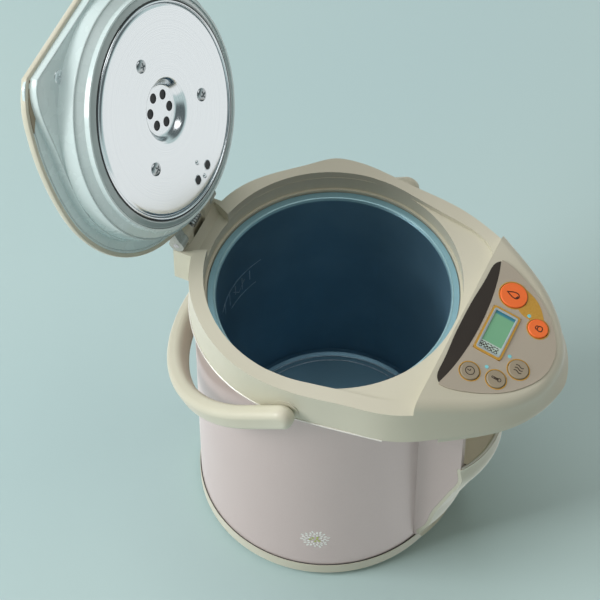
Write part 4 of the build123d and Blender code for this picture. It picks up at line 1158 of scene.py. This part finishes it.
# %% Figures
bars = {      # middle, in widths of a figure from its lower left corner, and whether the bar stands
    "a": (0.5, 2, 0), "b": (1, 1.5, 1), "c": (1, 0.5, 1), "d": (0.5, 0, 0), "e": (0, 0.5, 1),
    "f": (0, 1.5, 1), "g": (0.5, 1, 0),
}
figures = {"0": "abcdef", "6": "acdefg", "8": "abcdefg", "9": "abcdfg"}
figure_wide, bar_line, figure_step, row_step = 1.9, 0.3, 2.5, 4.6
figure_foot, figure_top = 1.05, 1.16      # from just under the glass's face to a print's height


def figure_bars(figure, x, y):
    """Plates of a figure's lit bars about a middle: hexagons that taper to a point at each end."""
    made, long, line = [], figure_wide * 0.43, bar_line
    for letter in figures[figure]:
        u, v, stands = bars[letter]
        shape = np.array([(-long, 0), (-long + line, line), (long - line, line),
                          (long, 0), (long - line, -line), (-long + line, -line)])
        shape = shape[:, ::-1] if stands else shape
        shape = shape + [x + (u - 0.5) * figure_wide, y + (v - 1) * figure_wide]
        made.append(sloped(plate(shape, figure_foot, figure_top)))
    return made


figure_plates = []
for row, text in enumerate(("98", "80", "60")):
    for place, figure in enumerate(text):
        figure_plates += figure_bars(figure, -13.0 + figure_step * place, -112.8 - row_step * row)
skin("display_figures", figure_plates, ink, "body", wrap=(False, True))

# %% [markdown]
# ## Marks on the buttons
#
# Each button carries a small mark for what it does: a drop, a padlock, a clock, a thermometer and
# rising steam. They are printed lines of one width, so each is a flat section carried along
# a line, and each rides on its own button.

# %% Button marks
mark_foot, mark_top = 1.7, 1.88      # from just under a button's face to a print's height


def mark(name, button, lines, size, width=0.7):
    """Printed lines on a button: closed and open lines about its middle, scaled to a size."""
    x, y, _ = buttons[button]
    grids, section = [], strip(width, mark_foot, mark_top)
    for line, loop in lines:
        grid = sloped(moulding(np.asarray(line) * size + [x, y], section, loop))
        grids.append(np.vstack([grid, grid[:1]]) if loop else grid)
    skin(name, grids, ink, button, wrap=(False, True))


round_drop = full_turn(48)
drop = np.column_stack([0.62 * np.sin(round_drop) * np.sin(round_drop / 2) ** 1.5,
                        0.15 + 0.85 * np.cos(round_drop)])
glint = arc(0, -0.25, 0.28, 200, 290, 12)
mark("drop_mark", "dispense_button", [(drop, True), (glint, False)], 5.2)
lock_body = eased([(0.55, -0.8), (0.55, 0.15), (-0.55, 0.15), (-0.55, -0.8)], 3)
mark("lock_mark", "unlock_button", [(lock_body, True), (arc(0, 0.2, 0.38, 0, 180), False)], 3.6)
hands = smooth_line([(0, 0.6), (0, 0), (0.42, 0)], 12)
mark("clock_mark", "timer_button", [(circle(0, 0, 0.95, 48), True), (hands, False)], 3.2, 0.55)
bulb = np.vstack([arc(0, -0.62, 0.36, 120, 420, 30), arc(0, 0.8, 0.18, 0, 180, 12)])
column = [(0, -0.6), (0, 0.2), (0, 0.5)]
mark("thermometer_mark", "temperature_button", [(bulb, True), (column, False)], 3.4, 0.5)
climb = np.linspace(-0.8, 0.8, 24)
steam = [(np.column_stack([x + 0.16 * np.sin(climb * 4), climb]), False) for x in (-0.6, 0, 0.6)]
mark("steam_mark", "reboil_button", steam, 3.6, 0.6)

# %% [markdown]
# ## The vessel's level marks
#
# The vessel has its highest and lowest water levels pressed into the coat, as plain lines with
# short ticks. They lie on the vessel's slightly conical wall: a place is an angle and a depth,
# and the radius follows from the depth.

# %% Level marks
wall_r, drawn_in, vessel_deep = 79.4, 3.4, 180
per_degree = 1.36        # millimetres along the wall


def on_wall(angle, depth, proud=0.0):
    """Places on the vessel's wall from degrees round it and millimetres below the rim."""
    radius = wall_r - drawn_in * (-depth) / vessel_deep - proud
    return polar(radius, np.radians(angle), depth)


def wall_line(angles, depths, width=0.7, proud=0.12):
    """Flat closed ridge along a line on the wall: two edges in the wall and two proud of it."""
    line, square = np.column_stack([angles, depths]), [per_degree, 1]
    normal = -sideways(heading(line * square, closed=False)) / square
    edges = [(-0.5, -0.1), (0.5, -0.1), (0.5, proud), (-0.5, proud)]
    grid = np.stack([on_wall(*(line + normal * width * side).T, out) for side, out in edges], 1)
    return upright(capped(grid))


even = np.linspace(0, 1, 40)
marks = [wall_line(64 + 36 * even, -45 - 6 * even ** 6), wall_line(68 + 21 * even, -66 + 0 * even)]
for angle, low in ((72, -58), (78, -61), (84, -58), (90, -61), (96, -60)):
    marks.append(wall_line(angle + 0 * even, -48 + (low + 48) * even))
for angle, lean in ((76, 5), (86, -5)):
    marks.append(wall_line(angle + lean * even, -52 - 8 * even, 0.5))
skin("level_marks", marks, etched, "body", wrap=(False, True))

# %% [markdown]
# ## The vessel's bottom and mouth
#
# Pressing leaves two fine rings round the bottom, and the sheet's edge is rolled over at the
# mouth. Both are thin beads about the vessel's axis, half sunk in the node that they follow.

# %% Bottom rings and mouth bead
floor_beads = [upright(turned(bead(0.9, 0.7, r, -179.6, 10))) for r in (71.4, 67.8)]
skin("floor_beads", floor_beads, etched, "body")
mouth_bead = upright(turned(bead(1.6, 1.2, 80.6, -0.5, 14)))
skin("mouth_bead", mouth_bead, flange_coat, "body")

# %% [markdown]
# ## Seams and small trims
#
# Two mouldings never meet in a perfect line. A bead closes the gap under the collar, where the
# painted shell begins; its near-white colour is a painted highlight along the collar's lower edge.
# A thin dark line marks the base's joint. Each is a bead carried along the joint.

# %% Seams
flank = smooth_line([(collar_r, 6), (collar_r, 0), (96.8, -20), (93.6, -47), (89.6, -75)], 60)[3:]
behind = arc(0, 0, collar_r, 180, 0, 160)
seam_line = np.vstack([flank[::-1] * [-1, 1], behind[1:-1], flank])
# A near-white bead: partly the seam, partly a painted highlight on the collar's lower edge.
seam = moulding(seam_line, bead(1.1, 1.3, -0.1, -10.2), closed=False)
skin("collar_bead_highlight", upright(seam), trim_and_highlight, "body", wrap=(False, True))
base_line = circle(0, 0, shell_r + 0.4, 160) + [0, shell_y]
base_top = 14.1 - rim / mm
base_joint = moulding(base_line, bead(0.6, 0.5, -0.1, base_top))
skin("base_joint", upright(base_joint), rubber, "body")

# %% [markdown]
# ## A core behind the collar's wall
#
# A groove runs behind the collar's wall, and at the right rear the wall of the CAD model is open
# to it in two small places. A solid core of the same plastic fills the groove there and closes
# them from behind, without a change to the node: a rectangle carried round the axis.

# %% Collar core
core_turn = np.radians(np.linspace(-24, 72, 120))[:, None]
core_r, core_z = np.array([(90.4, -6.4), (94.38, -6.4), (94.38, 10.8), (90.4, 10.8)]).T
core = capped(polar(core_r, core_turn, core_z))
skin("collar_core", upright(core), beige, "body", wrap=(False, True), crease=60)

# %% [markdown]
# ## The edge of the neck's lip
#
# The neck ends in a lip whose front edge carries a near-white bead, a painted highlight along the
# edge. The edge is an arc in plan, so the bead is flat and carried along that arc, wide enough to
# catch the light from all sides.

# %% Lip edge
# A near-white bead: painted highlight along the lip's edge.
lip_edge_highlight = moulding(arc(0, -65.5, 57.6, -126, -54, 80), bead(1.5, 1.0, 0, -99.8), closed=False)
skin("lip_edge_highlight", upright(lip_edge_highlight), trim_and_highlight, "body", wrap=(False, True))

# %% [markdown]
# ## A small pattern on the shell
#
# The shell's left side carries a small printed ornament low down: a round of pale ovals about six
# green ones, all set out by the golden angle, each a little larger than the one inside it. Every
# oval is a thin plate bent to the shell's curve, so that it has an edge and needs no texture.

# %% Shell pattern
golden_angle, spacing, oval_wide = 2.39996, 1.5, 1.5
pattern_side, pattern_z = radians(-161), 48
print_foot, print_top = -0.1, 0.08


def on_shell(across, up_by, proud):
    """Places on the round shell: millimetres across become an angle about its axis."""
    round_axis = polar(shell_r + proud, pattern_side + across / shell_r, pattern_z + up_by)
    return (round_axis + [0, shell_y, 0]) * mm


def petal_plates(indices):
    """Ovals at the golden angle, their distance growing with the root of their number."""
    made = []
    for n in indices:
        away, bearing = spacing * np.sqrt(n + 1), n * golden_angle
        oval = circle(0, 0, 1, 14) * [oval_wide * (0.6 + 0.05 * np.sqrt(n)), oval_wide * 0.5]
        x = away * cos(bearing) + oval[:, 0] * cos(bearing) - oval[:, 1] * sin(bearing)
        y = away * sin(bearing) + oval[:, 0] * sin(bearing) + oval[:, 1] * cos(bearing)
        middle = (away * cos(bearing) + 0 * x, away * sin(bearing) + 0 * x)
        rings = [(*middle, print_foot), (x, y, print_foot), (x, y, print_top), (*middle, print_top)]
        made.append(np.stack([on_shell(*ring) for ring in rings]))
    return made


pale, green = petal_plates(range(6, 46)), petal_plates(range(6))
skin("pale_ovals", pale, white_ink, "body", wrap=(False, True))
skin("green_ovals", green, green_ink, "body", wrap=(False, True))
